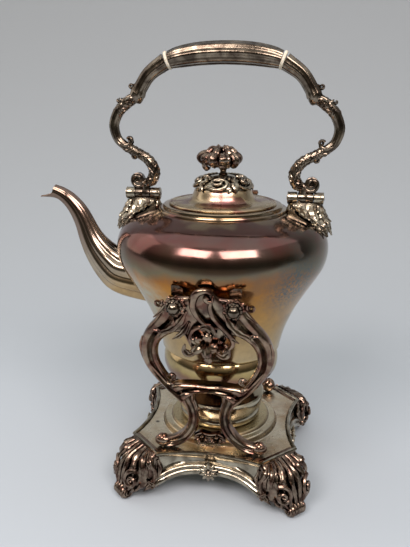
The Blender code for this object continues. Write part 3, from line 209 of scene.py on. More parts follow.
def noise(tree, size, detail=3.0, distortion=0.0):
    """Noise whose patches are about size millimetres across, on the piece's own coordinates."""
    spot = node(tree, "ShaderNodeTexCoord").outputs["Object"]
    made = node(tree, "ShaderNodeTexNoise", {"Vector": spot, "Scale": 1 / (size * MM), "Detail": detail,
                                             "Distortion": distortion})
    return made.outputs["Fac"]


def blend(tree, factor, first, second, way="MIX"):
    made = node(tree, "ShaderNodeMix", data_type="RGBA", blend_type=way)
    for slot, source in ((0, factor), (6, first), (7, second)):
        if isinstance(source, bpy.types.NodeSocket):
            tree.links.new(source, made.inputs[slot])
        else:
            made.inputs[slot].default_value = source
    return made.outputs[2]


def spread(tree, value, low_in, high_in, low_out, high_out):
    return node(tree, "ShaderNodeMapRange", {"Value": value, "From Min": low_in, "From Max": high_in,
                                             "To Min": low_out, "To Max": high_out}).outputs["Result"]


def near(tree, spot, reach):
    """One close to a point given in millimetres, fading to nothing at reach."""
    here = node(tree, "ShaderNodeTexCoord").outputs["Object"]
    centre = (AXIS + spot[0] * MM, spot[1] * MM, spot[2] * MM)
    gap = node(tree, "ShaderNodeVectorMath", {0: here, 1: centre}, operation="DISTANCE").outputs["Value"]
    return spread(tree, gap, reach * 0.35 * MM, reach * MM, 1.0, 0.0)


def times(tree, first, second):
    return node(tree, "ShaderNodeMath", {0: first, 1: second}, operation="MULTIPLY").outputs[0]


def blank(name):
    made = bpy.data.materials.new(name)
    made.use_nodes = True
    return made, made.node_tree, made.node_tree.nodes["Principled BSDF"]


print("linear mid grey:", [round(v, 3) for v in colour("808080")])

# %% [markdown]
# Polished sheet plate: rolled, spun and buffed, so it mirrors softly. Tarnish follows height and heat:
# gold low down where the lamp warmed it, violet brown on the shoulder, paler silver on top.
# %% Plate finishes
def plate_sheet(name, bottom, top, stops, stain, stain_amount, gloss=(0.09, 0.20), spots=(),
                wander=7.0):
    made, tree, shader = blank(name)
    spot = node(tree, "ShaderNodeTexCoord").outputs["Object"]
    height = node(tree, "ShaderNodeSeparateXYZ", {"Vector": spot}).outputs["Z"]
    drift = spread(tree, noise(tree, 38, 2.0), 0.3, 0.7, -wander * MM, wander * MM)
    level = node(tree, "ShaderNodeMath", {0: height, 1: drift}, operation="ADD").outputs[0]
    tone = ramp(tree, spread(tree, level, bottom * MM, top * MM, 0.0, 1.0), stops)
    patch = spread(tree, noise(tree, 30, 5.0, 0.8), 0.46, 0.68, 0.0, stain_amount)
    tone = blend(tree, patch, tone, colour(stain))
    fine = spread(tree, noise(tree, 4, 6.0), 0.3, 0.8, 0.0, 0.22)
    tone = blend(tree, fine, tone, colour("6e6358"))
    for spot, reach, tint, speck, amount in spots:
        grain = spread(tree, noise(tree, speck, 5.0), 0.36, 0.60, 0.25, amount)
        tone = blend(tree, times(tree, near(tree, spot, reach), grain), tone, colour(tint))
    tree.links.new(tone, shader.inputs["Base Color"])
    tree.links.new(spread(tree, noise(tree, 16, 6.0), 0.3, 0.7, *gloss), shader.inputs["Roughness"])
    shader.inputs["Metallic"].default_value = 1.0
    bump = node(tree, "ShaderNodeBump", {"Height": noise(tree, 55, 1.0), "Strength": 0.25, "Distance": 0.0012})
    tree.links.new(bump.outputs["Normal"], shader.inputs["Normal"])
    return made


def cast_plate(name, pale, mid, dark, edge, edge_amount, gloss=(0.13, 0.28), size=9):
    """Cast plate: dark in its hollows, where painted shade is laid over the tarnish, pale on rubbed faces and copper on
    its sharpest ridges.
    """
    made, tree, shader = blank(name)
    hollow_shade = node(tree, "ShaderNodeAmbientOcclusion", {"Distance": 5 * MM}, samples=6).outputs["AO"]
    ridge = node(tree, "ShaderNodeNewGeometry").outputs["Pointiness"]
    tone = ramp(tree, spread(tree, noise(tree, size, 5.0, 0.5), 0.32, 0.68, 0.0, 1.0), [(0.15, mid), (0.85, pale)])
    tone = blend(tree, spread(tree, ridge, 0.52, 0.60, 0.0, edge_amount), tone, colour(edge))
    worn = spread(tree, noise(tree, size * 1.6, 3.0), 0.50, 0.66, 0.0, edge_amount * 0.7)
    tone = blend(tree, worn, tone, colour(edge))
    # Painted shade: spots hidden from the room, found by ambient occlusion, are blended toward the dark colour, over
    # the tarnish there.
    tone = blend(tree, spread(tree, hollow_shade, 0.16, 0.78, 1.0, 0.0), tone, colour(dark))
    tree.links.new(tone, shader.inputs["Base Color"])
    tree.links.new(spread(tree, noise(tree, 5, 5.0), 0.3, 0.7, *gloss), shader.inputs["Roughness"])
    shader.inputs["Metallic"].default_value = 1.0
    bump = node(tree, "ShaderNodeBump", {"Height": noise(tree, 1.6, 4.0), "Strength": 0.22, "Distance": 0.0003})
    tree.links.new(bump.outputs["Normal"], shader.inputs["Normal"])
    return made


# Spun silver plate over copper, tarnished in bands: gold at the foot, violet brown on the shoulder.
BOWL_FINISH = plate_sheet("spun_silver_plate_tarnished", 100, 262, [
    (0.00, "8f6c58"), (0.05, "94705a"), (0.09, "b6a06c"), (0.17, "c6ae84"), (0.34, "bd9c68"), (0.48, "c49450"),
    (0.62, "cc8a34"), (0.685, "a8703c"), (0.73, "7e7258"), (0.79, "7c5e4e"), (0.86, "7c504c"), (0.955, "805c54"),
    (0.97, "a58e74"), (1.00, "b4a084")], "75706a", 0.35,
    spots=[((72, -58, 203), 40, "5d676a", 2.2, 1.0), ((-62, -62, 178), 44, "b9b598", 9, 0.9),
           ((20, -92, 214), 60, "57524c", 12, 0.35), ((80, -30, 236), 50, "6c6a5c", 8, 0.7)])
# The same plate on the lid, rubbed by hands to a paler tan silver.
LID_FINISH = plate_sheet("spun_silver_plate_rubbed", 255, 280, [
    (0.00, "8a6658"), (0.235, "8a6658"), (0.275, "c0ab88"), (0.42, "cbb896"), (1.00, "b59a86")], "9a7a6e", 0.4,
    (0.20, 0.34), spots=[((3, -27, 268), 14, "a87272", 6, 0.8)])
# Plate on the raised base, dulled to a warm grey tan by the lamp's smoke. The light and shade of its stamped
# steps are painted in by height: pale on the level parts, darker on the step faces, darkest in the creases at their
# feet.
TABLE_FINISH = plate_sheet("flat_silver_plate_dulled", 40, 54, [
    (0.00, "e6d8bc"), (0.325, "f0e4cc"), (0.345, "6e5a44"), (0.45, "b8a98c"), (0.60, "94826a"), (0.655, "e8dcc0"),
    (0.68, "e8dcc0"), (0.70, "705c44"), (0.83, "ac9a7a"), (0.86, "d8c8a0")], "c8a878", 0.55, (0.20, 0.34),
    spots=[((70, -62, 44), 34, "b5884e", 10, 0.8), ((-66, -66, 44), 24, "a8895e", 8, 0.8),
           # The last spot is a near black dot of painted shade standing in for a small hole in the plate.
           ((82, 20, 44), 40, "a37444", 12, 0.7), ((-58.6, -20.5, 44.4), 2.6, "2a1c16", 4, 1.0)], wander=0.1)
# Plate on the lamp and the spout, bright with brass tones.
LAMP_FINISH = plate_sheet("spun_silver_plate_golden", 52, 250, [
    (0.00, "a89e88"), (0.10, "b6ad98"), (0.20, "b0a58c"), (0.62, "c6a676"), (0.74, "b9ab96"), (0.86, "9c887a"),
    (1.00, "8a7468")],
    "7d6650", 0.45)
# Plate over cast white metal on the handle, brown with pale silver on the raised scrolls.
HANDLE_FINISH = cast_plate("cast_silver_plate_brown", "8a7e6e", "52483e", "16120f", "7c6c62", 0.22, (0.10, 0.24))
# Brighter cast plate on the crown, the shoulder leaves and the pins.
LEAF_FINISH = cast_plate("cast_silver_plate_bright", "c2b8a2", "8c8070", "241d18", "a09080", 0.25)
# Cast plate worn through to copper on the brackets.
BRACKET_FINISH = cast_plate("cast_plate_worn_to_copper", "a2937e", "584840", "150e0b", "99604f", 0.44, (0.08, 0.20))
# Darker copper cast of the feet and the knob.
FOOT_FINISH = cast_plate("cast_copper_darkened", "9a8b7a", "53433a", "120c0a", "856054", 0.32, (0.12, 0.26), 6)
# Moulded border, rubbed to silver, its hollows darkened by painted shade over the tarnish.
BORDER_FINISH = cast_plate("cast_silver_plate_border", "b4ac9a", "82796a", "28221a", "8f8470", 0.2, (0.10, 0.24))
print("metal finishes:", len(bpy.data.materials))

# %% [markdown]
# The rings beside the grip are ivory, which keeps the kettle's heat from the hand. It is sawn and polished
# by hand: a warm white that has yellowed, with light going a little way in.
# %% Ivory, steel and cotton
IVORY, tree, shader = blank("aged_ivory")
tone = ramp(tree, noise(tree, 2.5, 4.0, 1.5), [(0.3, "d8cdb2"), (0.7, "efe8d6")])
tree.links.new(tone, shader.inputs["Base Color"])
shader.inputs["Roughness"].default_value = 0.42
shader.inputs["Subsurface Weight"].default_value = 0.15
shader.inputs["Subsurface Radius"].default_value = (0.002, 0.0015, 0.001)

# Plain drawn steel for pins and screws, dulled by handling.
STEEL, tree, shader = blank("drawn_steel")
tree.links.new(ramp(tree, noise(tree, 3, 3.0), [(0.3, "6f6a64"), (0.7, "8a857d")]), shader.inputs["Base Color"])
shader.inputs["Metallic"].default_value = 1.0
shader.inputs["Roughness"].default_value = 0.38

# Plaited cotton, singed at its top.
COTTON, tree, shader = blank("plaited_cotton")
tree.links.new(ramp(tree, noise(tree, 1.2, 4.0), [(0.3, "8a8172"), (0.7, "c9c0ac")]), shader.inputs["Base Color"])
shader.inputs["Roughness"].default_value = 0.9
print("all finishes:", len([m for m in bpy.data.materials if m.use_nodes]))


# %% [markdown]
# A finished piece gets its finish, its body to ride on and the nodes it stands for.
# %% Dressing a piece
def dress(made, finish, body, stands_for=()):
    made.data.materials.clear()
    made.data.materials.append(finish)
    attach(made, body)
    if stands_for:
        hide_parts(*stands_for)
    print(made.name, len(made.data.polygons), "faces")
    return made


def keep(names, finish):
    """CAD nodes of the right shape stay and take a finish."""
    for name in names:
        for spot in range(len(nodes[name].material_slots)):
            nodes[name].material_slots[spot].material = finish


# %% [markdown]
# The bowl was spun from sheet over a wooden former: every section is a circle. It is made the same way
# here, as one circle that is drawn up and widened or narrowed from ring to ring in edit mode.
# %% Turned pieces
def turned(name, profile, around=96, hole=False):
    """Extrude a circle upward through (radius, height) rings."""
    bpy.ops.object.select_all(action="DESELECT")
    radius, height = profile[0]
    bpy.ops.mesh.primitive_circle_add(vertices=around, radius=radius * MM, location=(AXIS, 0, height * MM))
    made = bpy.context.object
    made.name = name
    bpy.ops.object.transform_apply(location=True, rotation=True, scale=True)
    bpy.ops.object.mode_set(mode="EDIT")
    bpy.ops.mesh.select_all(action="SELECT")
    if not hole:
        bpy.ops.mesh.edge_face_add()
    for (r0, z0), (r1, z1) in zip(profile, profile[1:]):
        if not hole:
            bpy.ops.mesh.extrude_region_move(TRANSFORM_OT_translate={"value": (0, 0, (z1 - z0) * MM)})
        else:
            bpy.ops.mesh.extrude_edges_move(TRANSFORM_OT_translate={"value": (0, 0, (z1 - z0) * MM)})
        bpy.ops.transform.resize(value=(r1 / r0, r1 / r0, 1), center_override=(AXIS, 0, z1 * MM))
    bpy.ops.mesh.select_all(action="SELECT")
    if hole:
        bpy.ops.mesh.remove_doubles(threshold=0.000001)
    bpy.ops.mesh.normals_make_consistent(inside=False)
    bpy.ops.object.mode_set(mode="OBJECT")
    made.data.shade_smooth()
    made.data.set_sharp_from_angle(angle=math.radians(30))
    return made


BOWL_KNOTS = [(55.5, 128.0), (57.8, 138.0), (60.8, 148.1), (64.8, 158.1), (69.3, 168.2), (74.8, 178.2), (81.0, 188.2),
              (87.3, 198.3), (92.6, 208.3), (95.0, 218.4), (94.4, 228.4), (91.4, 235.9), (86.6, 242.2), (78.6, 247.0),
              (69.0, 250.5), (59.9, 253.5)]
bowl_side = [tuple(p) for p in run(BOWL_KNOTS, 4)]
FOOT_SIDE = [(2.0, 103.0), (45.8, 103.0), (47.0, 104.2), (47.0, 126.6), (54.6, 127.0), (55.6, 127.3)]
RIM_SIDE = [(57.6, 253.9), (57.4, 255.4), (57.0, 256.0), (56.2, 256.3), (53.6, 256.4), (53.4, 258.2), (52.8, 258.8),
            (52.2, 259.0), (45.6, 259.0)]
LINING = [(45.6, 252.6), (59.6, 252.2), (78.0, 245.8), (90.4, 235.0), (93.6, 218.4), (91.2, 208.3), (79.6, 188.2),
          (63.4, 158.1), (54.0, 130.0), (45.8, 129.2), (45.8, 105.4), (2.0, 104.6)]
bowl = turned("kettle_bowl", FOOT_SIDE + bowl_side + RIM_SIDE + LINING, 128)
dress(bowl, BOWL_FINISH, "kettle", ["kettle_body"])

ROLL = [(47.3, 99.0), (48.6, 98.9), (50.6, 100.4), (52.6, 103.4), (54.0, 107.8), (54.4, 112.0), (54.2, 116.4),
        (53.0, 120.4), (51.4, 123.0), (50.7, 124.0), (51.6, 124.8), (53.6, 125.4), (54.4, 126.4), (53.6, 127.5),
        (47.3, 127.7), (47.3, 99.0)]
roll = turned("bowl_foot_roll", ROLL, 96, hole=True)
dress(roll, BOWL_FINISH, "kettle", ["foot_roll"])

# %% [markdown]
# The spout is a cast swan neck with long flutes that fan out where it meets the bowl. Its rings follow the
# measured centre line; points that would stand inside the bowl are laid on its wall instead.
# %% Spout
SPOUT_KNOTS = [(-62.0, 188.0, 27.5), (-93.8, 190.4, 23.9), (-104.1, 195.9, 20.2), (-112.6, 204.0, 17.0),
               (-120.0, 213.5, 14.0), (-125.6, 223.5, 11.6), (-129.7, 234.5, 9.9), (-134.2, 244.6, 9.0),
               (-139.4, 252.3, 8.1), (-145.6, 258.9, 7.2), (-152.6, 263.4, 6.4), (-159.0, 265.7, 5.9)]


def wall(z):
    """Radius of the bowl's outer side at heights z."""
    side = np.array(bowl_side)
    return np.interp(z, side[:, 1], side[:, 0])


def spout_ring(here, way, shrink, lip):
    turn = np.arange(90) * math.pi / 45
    deep = 0.085 * min(max(here[2] - 6, 0) / 12, 1) + 0.03
    flute = 1 - deep * (1 - np.abs(np.sin(5 * turn)))
    up = np.array([-way[1], way[0]])
    depth = (here[2] * flute - shrink) * np.sin(turn)
    ring = np.stack([here[0] + up[0] * depth, (here[2] * 0.84 * flute - shrink) * np.cos(turn),
                     here[1] + up[1] * depth], 1)
    under = np.clip(-np.sin(turn) * np.sign(up[1]), 0, 1) ** 3
    ring[:, 0] -= lip * under
    ring[:, 2] -= lip * 0.08 * under
    return ring


def eased(points, window):
    """Running mean of a run of points that keeps both ends."""
    half = window // 2
    padded = np.vstack([2 * points[0] - points[half:0:-1], points, 2 * points[-1] - points[-2:-half - 2:-1]])
    return np.stack([np.convolve(column, np.ones(window) / window, "valid") for column in padded.T], 1)


knots = eased(run(SPOUT_KNOTS, 7), 9)
ways = np.gradient(knots[:, :2], axis=0)
ways /= -np.linalg.norm(ways, axis=1)[:, None]
padded = np.vstack([np.repeat(ways[:1], 8, 0), ways, np.repeat(ways[-1:], 8, 0)])
ways = np.stack([np.convolve(padded[:, k], np.ones(17) / 17, "valid") for k in (0, 1)], 1)
ways /= np.linalg.norm(ways, axis=1)[:, None]
lips = np.linspace(0, 1, len(knots)) ** 40 * 11.8
outer = [spout_ring(k, w, 0, l) for k, w, l in zip(knots, ways, lips)]
inner = [spout_ring(k, w, 1.1, l) for k, w, l in list(zip(knots, ways, lips))[:len(knots) // 2:-1]]
root = [knots[0] * (1, 1, share) for share in (0.02, 0.35, 0.7)]
outer = [spout_ring(k, ways[0], 0, 0) for k in root] + outer
for ring in outer[:26]:
    skin_at = wall(ring[:, 2]) - 0.6
    inside = np.hypot(ring[:, 0], ring[:, 1]) < skin_at
    ring[inside, 0] = -np.sqrt(np.clip(skin_at ** 2 - ring[:, 1] ** 2, 0, None))[inside]
spout = Casting().skin(outer + inner).done("swan_spout", sharp=math.radians(60))
dress(spout, LAMP_FINISH, "kettle", ["spout"])

# %% [markdown]
# The lid was spun too: a stepped saucer that rises to a dome. Two rings pressed into its edge stiffen it.
# %% Lid
LID = [(2.0, 276.5), (7.9, 276.5), (21.5, 274.0), (23.6, 271.8), (24.6, 269.4), (26.0, 265.9), (28.3, 262.6),
       (31.5, 261.0), (43.6, 260.0), (43.6, 253.5), (44.8, 253.5), (44.8, 259.3), (47.9, 259.3), (48.1, 260.2),
       (47.6, 260.9), (46.8, 261.1), (46.0, 260.9), (45.7, 260.6), (45.2, 261.1), (44.4, 261.4), (43.6, 261.3),
       (43.2, 261.0), (42.7, 261.3), (38.4, 261.7), (34.0, 262.0), (31.7, 262.4), (30.2, 262.9), (29.0, 263.7),
       (27.9, 265.0), (27.0, 266.7), (26.3, 268.6), (25.7, 270.4), (25.0, 272.0), (24.0, 273.3), (22.2, 274.7),
       (18.6, 276.1), (14.6, 277.0), (8.0, 277.7), (2.0, 277.8)]
lid = turned("stepped_lid", LID, 96)
dress(lid, LID_FINISH, "lid", ["lid_plate"])

keep(["lid_hinge_bracket"], FOOT_FINISH)

# %% [markdown]
# Leaves of a casting are ribbed and curled: each is a thin ribbed section carried along a bent rib, wide in
# the middle, with a lobed edge. The crown's scrolls are round rods that wind in on themselves.
# %% Leaves and crown
span = np.linspace(-1, 1, 11)
LEAF_TOP = np.stack([0.55 - 0.75 * span ** 2 + 0.16 * np.cos(2.5 * math.pi * span), span], 1)
LEAF_SECTION = np.vstack([LEAF_TOP, (LEAF_TOP - (0.55, 0))[::-1] * (1, 0.94)])


def leaf(path, width, height, face, lobes=3, tip=0.12):
    """A ribbed acanthus leaf along a path, with lobed edges; its ribs look toward face."""
    path = run(path, 6)
    across = np.cross(np.gradient(path, axis=0), np.broadcast_to(np.asarray(face, float), path.shape))
    t = np.linspace(0, 1, len(path))
    swell = np.sin(math.pi * np.clip(t, 0.06, 0.97) ** 0.75) ** 0.7
    swell *= 1 + 0.16 * np.cos(2 * math.pi * lobes * t)
    swell = np.maximum(swell, tip)
    return sweep(path, height * np.maximum(swell, 0.4), width / 2 * swell, LEAF_SECTION, across)


DOME = run([(25.0, 273.2), (24.2, 276.4), (21.2, 279.6), (15.9, 282.5), (9.9, 284.4), (4.7, 285.2)], 6)
dome_way = np.gradient(DOME, axis=0)
dome_way /= np.linalg.norm(dome_way, axis=1)[:, None]
dome_run = np.concatenate([[0], np.cumsum(np.linalg.norm(np.diff(DOME, axis=0), axis=1))])


def on_dome(around, up, lift):
    """Point over the crown: millimetres round it, millimetres up its slope, and lift off it."""
    r, z = (np.interp(up, dome_run, DOME[:, k]) for k in (0, 1))
    wr, wz = (np.interp(up, dome_run, dome_way[:, k]) for k in (0, 1))
    turn = around / 20.0
    normal = np.stack([wz * np.cos(turn), wz * np.sin(turn), -wr], -1)
    return np.stack([r * np.cos(turn), r * np.sin(turn), z], -1) + normal * np.asarray(lift)[..., None], normal


crown = Casting()
WHORLS = 5
t = np.linspace(0, 1, 60)
for k in range(WHORLS):
    middle = (k - 0.05) * 2 * math.pi * 20 / WHORLS - math.pi * 10
    reach = 9.0 * (1.5 / 9.0) ** t
    turn = math.pi * 1.15 + t * 3.9 * math.pi
    path, normal = on_dome(middle + reach * np.cos(turn) * 1.12, 7.6 + reach * np.sin(turn) * 0.80, 0.7 + 1.5 * t)
    thick = np.interp(t, [0, 0.06, 0.25, 1], [0.5, 1.6, 1.7, 1.0])
    crown.skin(sweep(path, thick, thick, round_section(10), normal))
    for off, up, size, lean in ((12.4, 2.0, 1.15, -0.5), (11.6, 6.4, 1.1, 0.5), (12.8, 10.8, 1.0, -0.3),
                                (10.4, 14.2, 0.9, 0.6), (0.5, 15.6, 0.8, -0.5), (8.8, 0.9, 0.9, 0.8),
                                (-9.4, 13.6, 0.8, 0.4), (5.2, 15.2, 0.8, 0.2)):
        spot, face = on_dome(np.array(middle + off), np.array(up), np.array(0.7))
        aim, _ = on_dome(np.array(middle + off + 3 * lean), np.array(up + 3.0), np.array(0.7))
        crown.skin(drop(spot, aim - spot, face, 7.6 * size, 3.6 * size, 3.4 * size))
bed = [(24.9 - 0.9, 273.0)] + [(r - 0.9, z - 0.4) for r, z in DOME[2:]]
turn = np.arange(72) * math.pi / 36
crown.skin([[(r * math.cos(a), r * math.sin(a), z) for a in turn] for r, z in bed])
crown = crown.done("scroll_crown")
dress(crown, LEAF_FINISH, "lid", ["lid_crown"])

stem = turned("finial_stem_turned", [(3.9, 284.9), (4.2, 285.6), (3.0, 286.4), (2.7, 288.0), (3.2, 289.4), (4.6, 290.6),
                                     (5.0, 293.0), (3.0, 295.0)], 32)
dress(stem, FOOT_FINISH, "lid", ["finial_stem"])

# %% [markdown]
# The knob is a full blown flower in cast metal, bent a little to one side. Outer petals arch over and droop,
# inner ones stand up, and small stamens fill the heart. The plate on it has worn to dark copper.
# %% Finial flower
def petal(path, width, height, across):
    """A broad petal, notched by two grooves, with a rounded and folded tip."""
    path = run(path, 5)
    t = np.linspace(0, 1, len(path))
    wide = np.interp(t, [0, 0.25, 0.55, 0.8, 0.93, 1], [0.35, 0.75, 1.0, 0.95, 0.7, 0.35]) * width / 2
    return sweep(path, height * np.interp(t, [0, 0.8, 1], [1, 1, 0.5]), wide, LEAF_SECTION, across)


flower = Casting()
for count, reach, rise, fall, width, phase in ((9, 17.4, 303.8, 293.4, 9.6, 0.2), (8, 14.0, 300.0, 290.4, 9.4, 0.55),
                                               (8, 12.2, 306.8, 298.4, 7.4, 0.6), (6, 7.4, 308.2, 302.6, 5.8, 0.1)):
    for k in range(count):
        turn = phase + 2 * math.pi * k / count + chance.uniform(-0.12, 0.12)
        out = np.array([math.cos(turn), math.sin(turn), 0])
        far = reach + 2.4 * max(-out[0], 0) + chance.uniform(-1.6, 1.0)
        drop_to = fall + chance.uniform(-1.2, 3.4)
        top = rise + chance.uniform(-0.5, 0.6)
        knots = [(2.0, 295.8), (far * 0.42, mix(295.8, top, 0.8)), (far * 0.72, top),
                 (far * 0.97, mix(top, drop_to, 0.3)), (far * 1.02, mix(top, drop_to, 0.66)),
                 (far * 0.86, drop_to), (far * 0.66, drop_to + 1.2)]
        path = np.array([(r * out[0] - 1.5, r * out[1], z) for r, z in knots])
        flower.skin(petal(path, width, 2.7, (out[1], -out[0], 0)))
for k in range(9):
    turn = k * 2.4
    spot = (1.1 * math.sqrt(k) * math.cos(turn) - 1.5, 1.1 * math.sqrt(k) * math.sin(turn), 307.2)
    flower.skin(drop(spot, (0.1, 0, 1), (1, 0, 0), 3.4, 2.2, 2.2, 6))
flower.skin(drop((-1.0, 0, 297.5), (0, 0, 1), (1, 0, 0), 16, 15, 15, 14))
flower = flower.done("finial_petals")
dress(flower, FOOT_FINISH, "lid", ["finial_flower"])

# %% [markdown]
# Handle arms are cast solid. A reeded tube comes down from the ivory ring to a pointed knee; from there a
# thinner stem swings out and in, wrapped in engraved leaves, and its foot winds into a volute on the hinge.
# %% Handle arms
ARM = [(50.4, 379.35, 7.0), (64.8, 369.3, 6.1), (73.2, 357.5, 5.9), (76.3, 351.8, 6.5), (82.0, 347.4, 5.5),
       (87.5, 343.7, 5.0), (93.9, 337.0, 4.9), (98.2, 325.9, 4.7), (95.8, 315.0, 4.3), (90.0, 308.9, 4.2),
       (80.0, 303.1, 4.3), (68.1, 296.4, 4.6), (62.4, 287.0, 5.1), (64.6, 278.3, 5.1), (68.8, 275.7, 4.0),
       (72.1, 274.4, 4.2)]
REEDED = round_section(36, 9, 0.055)
BARREL_Z = 266.0
VOLUTE_X, VOLUTE_Z = 77.6, 278.2


def with_y(flat):
    return np.insert(flat, 1, 0.0, axis=1)


def arm_mould(sign):
    cast = Casting()
    line = run(ARM, 6)
    knee = 6 * 3
    upper = np.vstack([line[:knee + 1], [(75.6, 348.6, 5.4), (74.6, 345.8, 3.4), (73.9, 344.2, 0.8)]])
    cast.skin(sweep(with_y(upper[:, :2]), upper[:, 2], upper[:, 2] * 0.95, REEDED, (0, 1, 0)))
    lower = line[knee - 3:]
    size = lower[:, 2] * np.clip(np.linspace(0.5, 3.5, len(lower)), 0, 1) * 0.93
    cast.skin(sweep(with_y(lower[:, :2]), size, size * 0.95, REEDED, (0, 1, 0)))
    way = np.gradient(lower[:, :2], axis=0)
    way /= np.linalg.norm(way, axis=1)[:, None]
    for i in range(4, len(lower) - 3):
        leafy = i < 22 or i > 40
        if not leafy:
            continue
        for side in range(3):
            turn = i * 0.9 + side * 2.1
            normal = np.array([-way[i, 1] * math.cos(turn), math.sin(turn), way[i, 0] * math.cos(turn)])
            cross = np.array([way[i, 1] * math.sin(turn), math.cos(turn), -way[i, 0] * math.sin(turn)])
            along = np.array([way[i, 0], 0, way[i, 1]]) + cross * 0.8 * (-1) ** i
            spot = np.array([lower[i, 0], 0, lower[i, 1]]) + normal * size[i] * 0.93
            cast.skin(drop(spot, along, normal, 6.4, 2.1, 2.2, 6, 5))
    coil = spiral((VOLUTE_X, VOLUTE_Z), 6.9, 1.4, 1.6, -2.6)
    thick = np.linspace(2.5, 1.3, len(coil))
    cast.skin(sweep(coil, thick, np.linspace(4.4, 3.6, len(coil)), round_section(14), (0, 1, 0)))
    disc = np.array([(VOLUTE_X, y, VOLUTE_Z) for y in (-3.3, -2.9, 2.9, 3.3)])
    cast.skin(sweep(disc, [5.4, 6.2, 6.2, 5.4], [5.4, 6.2, 6.2, 5.4], round_section(28), (0, 0, 1)))
    cast.skin(drop((VOLUTE_X, 0, VOLUTE_Z), (0, 1, 0), (1, 0, 0), 9.6, 4.0, 4.0, 12))
    for spot, begin, size, turns in (((81.5, 359.2), 2.5, 2.6, 1.1), ((84.0, 313.0), 0.4, 2.7, 1.2),
                                     ((80.8, 299.2), 3.4, 2.4, 1.0), ((93.5, 347.0), 3.0, 1.8, 0.8)):
        hook = spiral(spot, size, size * 0.35, turns, begin, 20)
        cast.skin(sweep(hook, np.linspace(1.5, 0.9, 20), np.linspace(2.4, 1.4, 20), round_section(8), (0, 1, 0)))
    for points in ([(74, 0, 352), (79, 0, 351), (84, 0, 348.5), (89, 0, 346.5), (92, 0, 349)],
                   [(97, 0, 318), (93, 0, 310), (87, 0, 308), (83, 0, 310.5), (82.5, 0, 314)]):
        for y in (-3.4, 3.4):
            lifted = np.array(points, float) + (0, y, 0)
            cast.skin(leaf(lifted, 4.6, 1.6, (0.2, -1 if y < 0 else 1, 0.2), 2))
    web = [(70.0, 0, 268.0), (70.6, 0, 271.5), (71.5, 0, 274.5)]
    cast.skin(sweep(np.array(web), 3.6, 4.2, round_section(12), (0, 1, 0)))
    barrel = np.array([(x, 0, BARREL_Z) for x in (66.1, 66.5, 67.0, 72.6, 72.9, 73.2, 78.7, 79.2, 79.6)])
    girth = [4.8, 5.4, 5.3, 5.3, 5.0, 5.3, 5.3, 5.4, 4.8]
    cast.skin(sweep(barrel, girth, girth, round_section(28), (0, 1, 0)))
    word = "right" if sign > 0 else "left"
    made = cast.done("handle_arm_cast_" + word, lambda p: p * (sign, 1, 1), math.radians(50))
    return dress(made, HANDLE_FINISH, "handle", ["handle_arm_" + word])


for sign in (1, -1):
    arm_mould(sign)

# %% [markdown]
# The grip swells in the middle and is reeded lengthwise, so it doesn't turn in the hand. An ivory ring
# sits at each end of it.
# %% Grip and ivory rings
half = [(0, 386.1, 9.2), (21.3, 385.2, 9.1), (37.9, 382.8, 8.4), (47.3, 380.4, 7.2)]
line = run([(-x, z, r) for x, z, r in half[:0:-1]] + half, 8)
grip = Casting().skin(sweep(with_y(line[:, :2]), line[:, 2], line[:, 2], round_section(64, 8, 0.05), (0, 1, 0)))
grip = grip.done("reeded_grip", sharp=math.radians(60))
dress(grip, HANDLE_FINISH, "handle", ["handle_grip"])
SLOPE = math.radians(20.2)
for sign, word in ((-1, "left"), (1, "right")):
    bpy.ops.object.select_all(action="DESELECT")
    bpy.ops.mesh.primitive_cylinder_add(vertices=48, radius=8.0 * MM, depth=2.6 * MM,
                                        location=(AXIS + sign * 48.9 * MM, 0, 379.9 * MM),
                                        rotation=(0, sign * (math.pi / 2 + SLOPE), 0))
    ring = bpy.context.object
    ring.name = "ivory_ring_" + word
    bpy.ops.object.transform_apply(location=True, rotation=True, scale=True)
    bpy.ops.object.mode_set(mode="EDIT")
    bpy.ops.mesh.select_all(action="DESELECT")
    bpy.ops.mesh.edges_select_sharp(sharpness=math.radians(60))
    bpy.ops.mesh.bevel(offset=0.8 * MM, segments=4, affect="EDGES")
    bpy.ops.object.mode_set(mode="OBJECT")
    ring.data.shade_smooth()
    ring.data.set_sharp_from_angle(angle=math.radians(50))
    dress(ring, IVORY, "handle", ["insulator_" + word])

# %% [markdown]
# Cast acanthus leaves on the shoulder carry the handle's hinge. Each leaf is laid on the bowl's curve and
# fans out from under the barrels, with its tip lifted off the metal.
# %% Shoulder leaves
side = np.array(bowl_side)
shoulder = side[np.argmax(side[:, 0]):][::-1]
shoulder_run = np.concatenate([[0], np.cumsum(np.linalg.norm(np.diff(shoulder, axis=0), axis=1))])


def on_shoulder(down, around, lift):
    """Point over the shoulder, down millimetres from the rim and around millimetres to the side."""
    r, z = (np.interp(down, shoulder_run, shoulder[:, k]) for k in (0, 1))
    turn = around / 82.0
    out = np.array([math.cos(turn), math.sin(turn), 0.0])
    steep = np.interp(down, [0, 14, 30, 45], [0.35, 0.75, 1.2, 1.5])
    normal = out * math.sin(steep) + np.array([0, 0, math.cos(steep)])
    return out * r + np.array([0, 0, z]) + normal * lift, normal


def shoulder_leaf(cast, start, end, width, height, lobes):
    t = np.linspace(0, 1, 7)
    spots = []
    for s in t:
        lift = 0.8 + 2.2 * s * s * (s > 0.5) + 1.6 * math.sin(math.pi * s)
        spots.append(on_shoulder(mix(start[0], end[0], s), mix(start[1], end[1], s) * (0.6 + 0.4 * s), lift))
    normal = spots[3][1]
    cast.skin(leaf([s[0] for s in spots], width, height, normal, lobes))


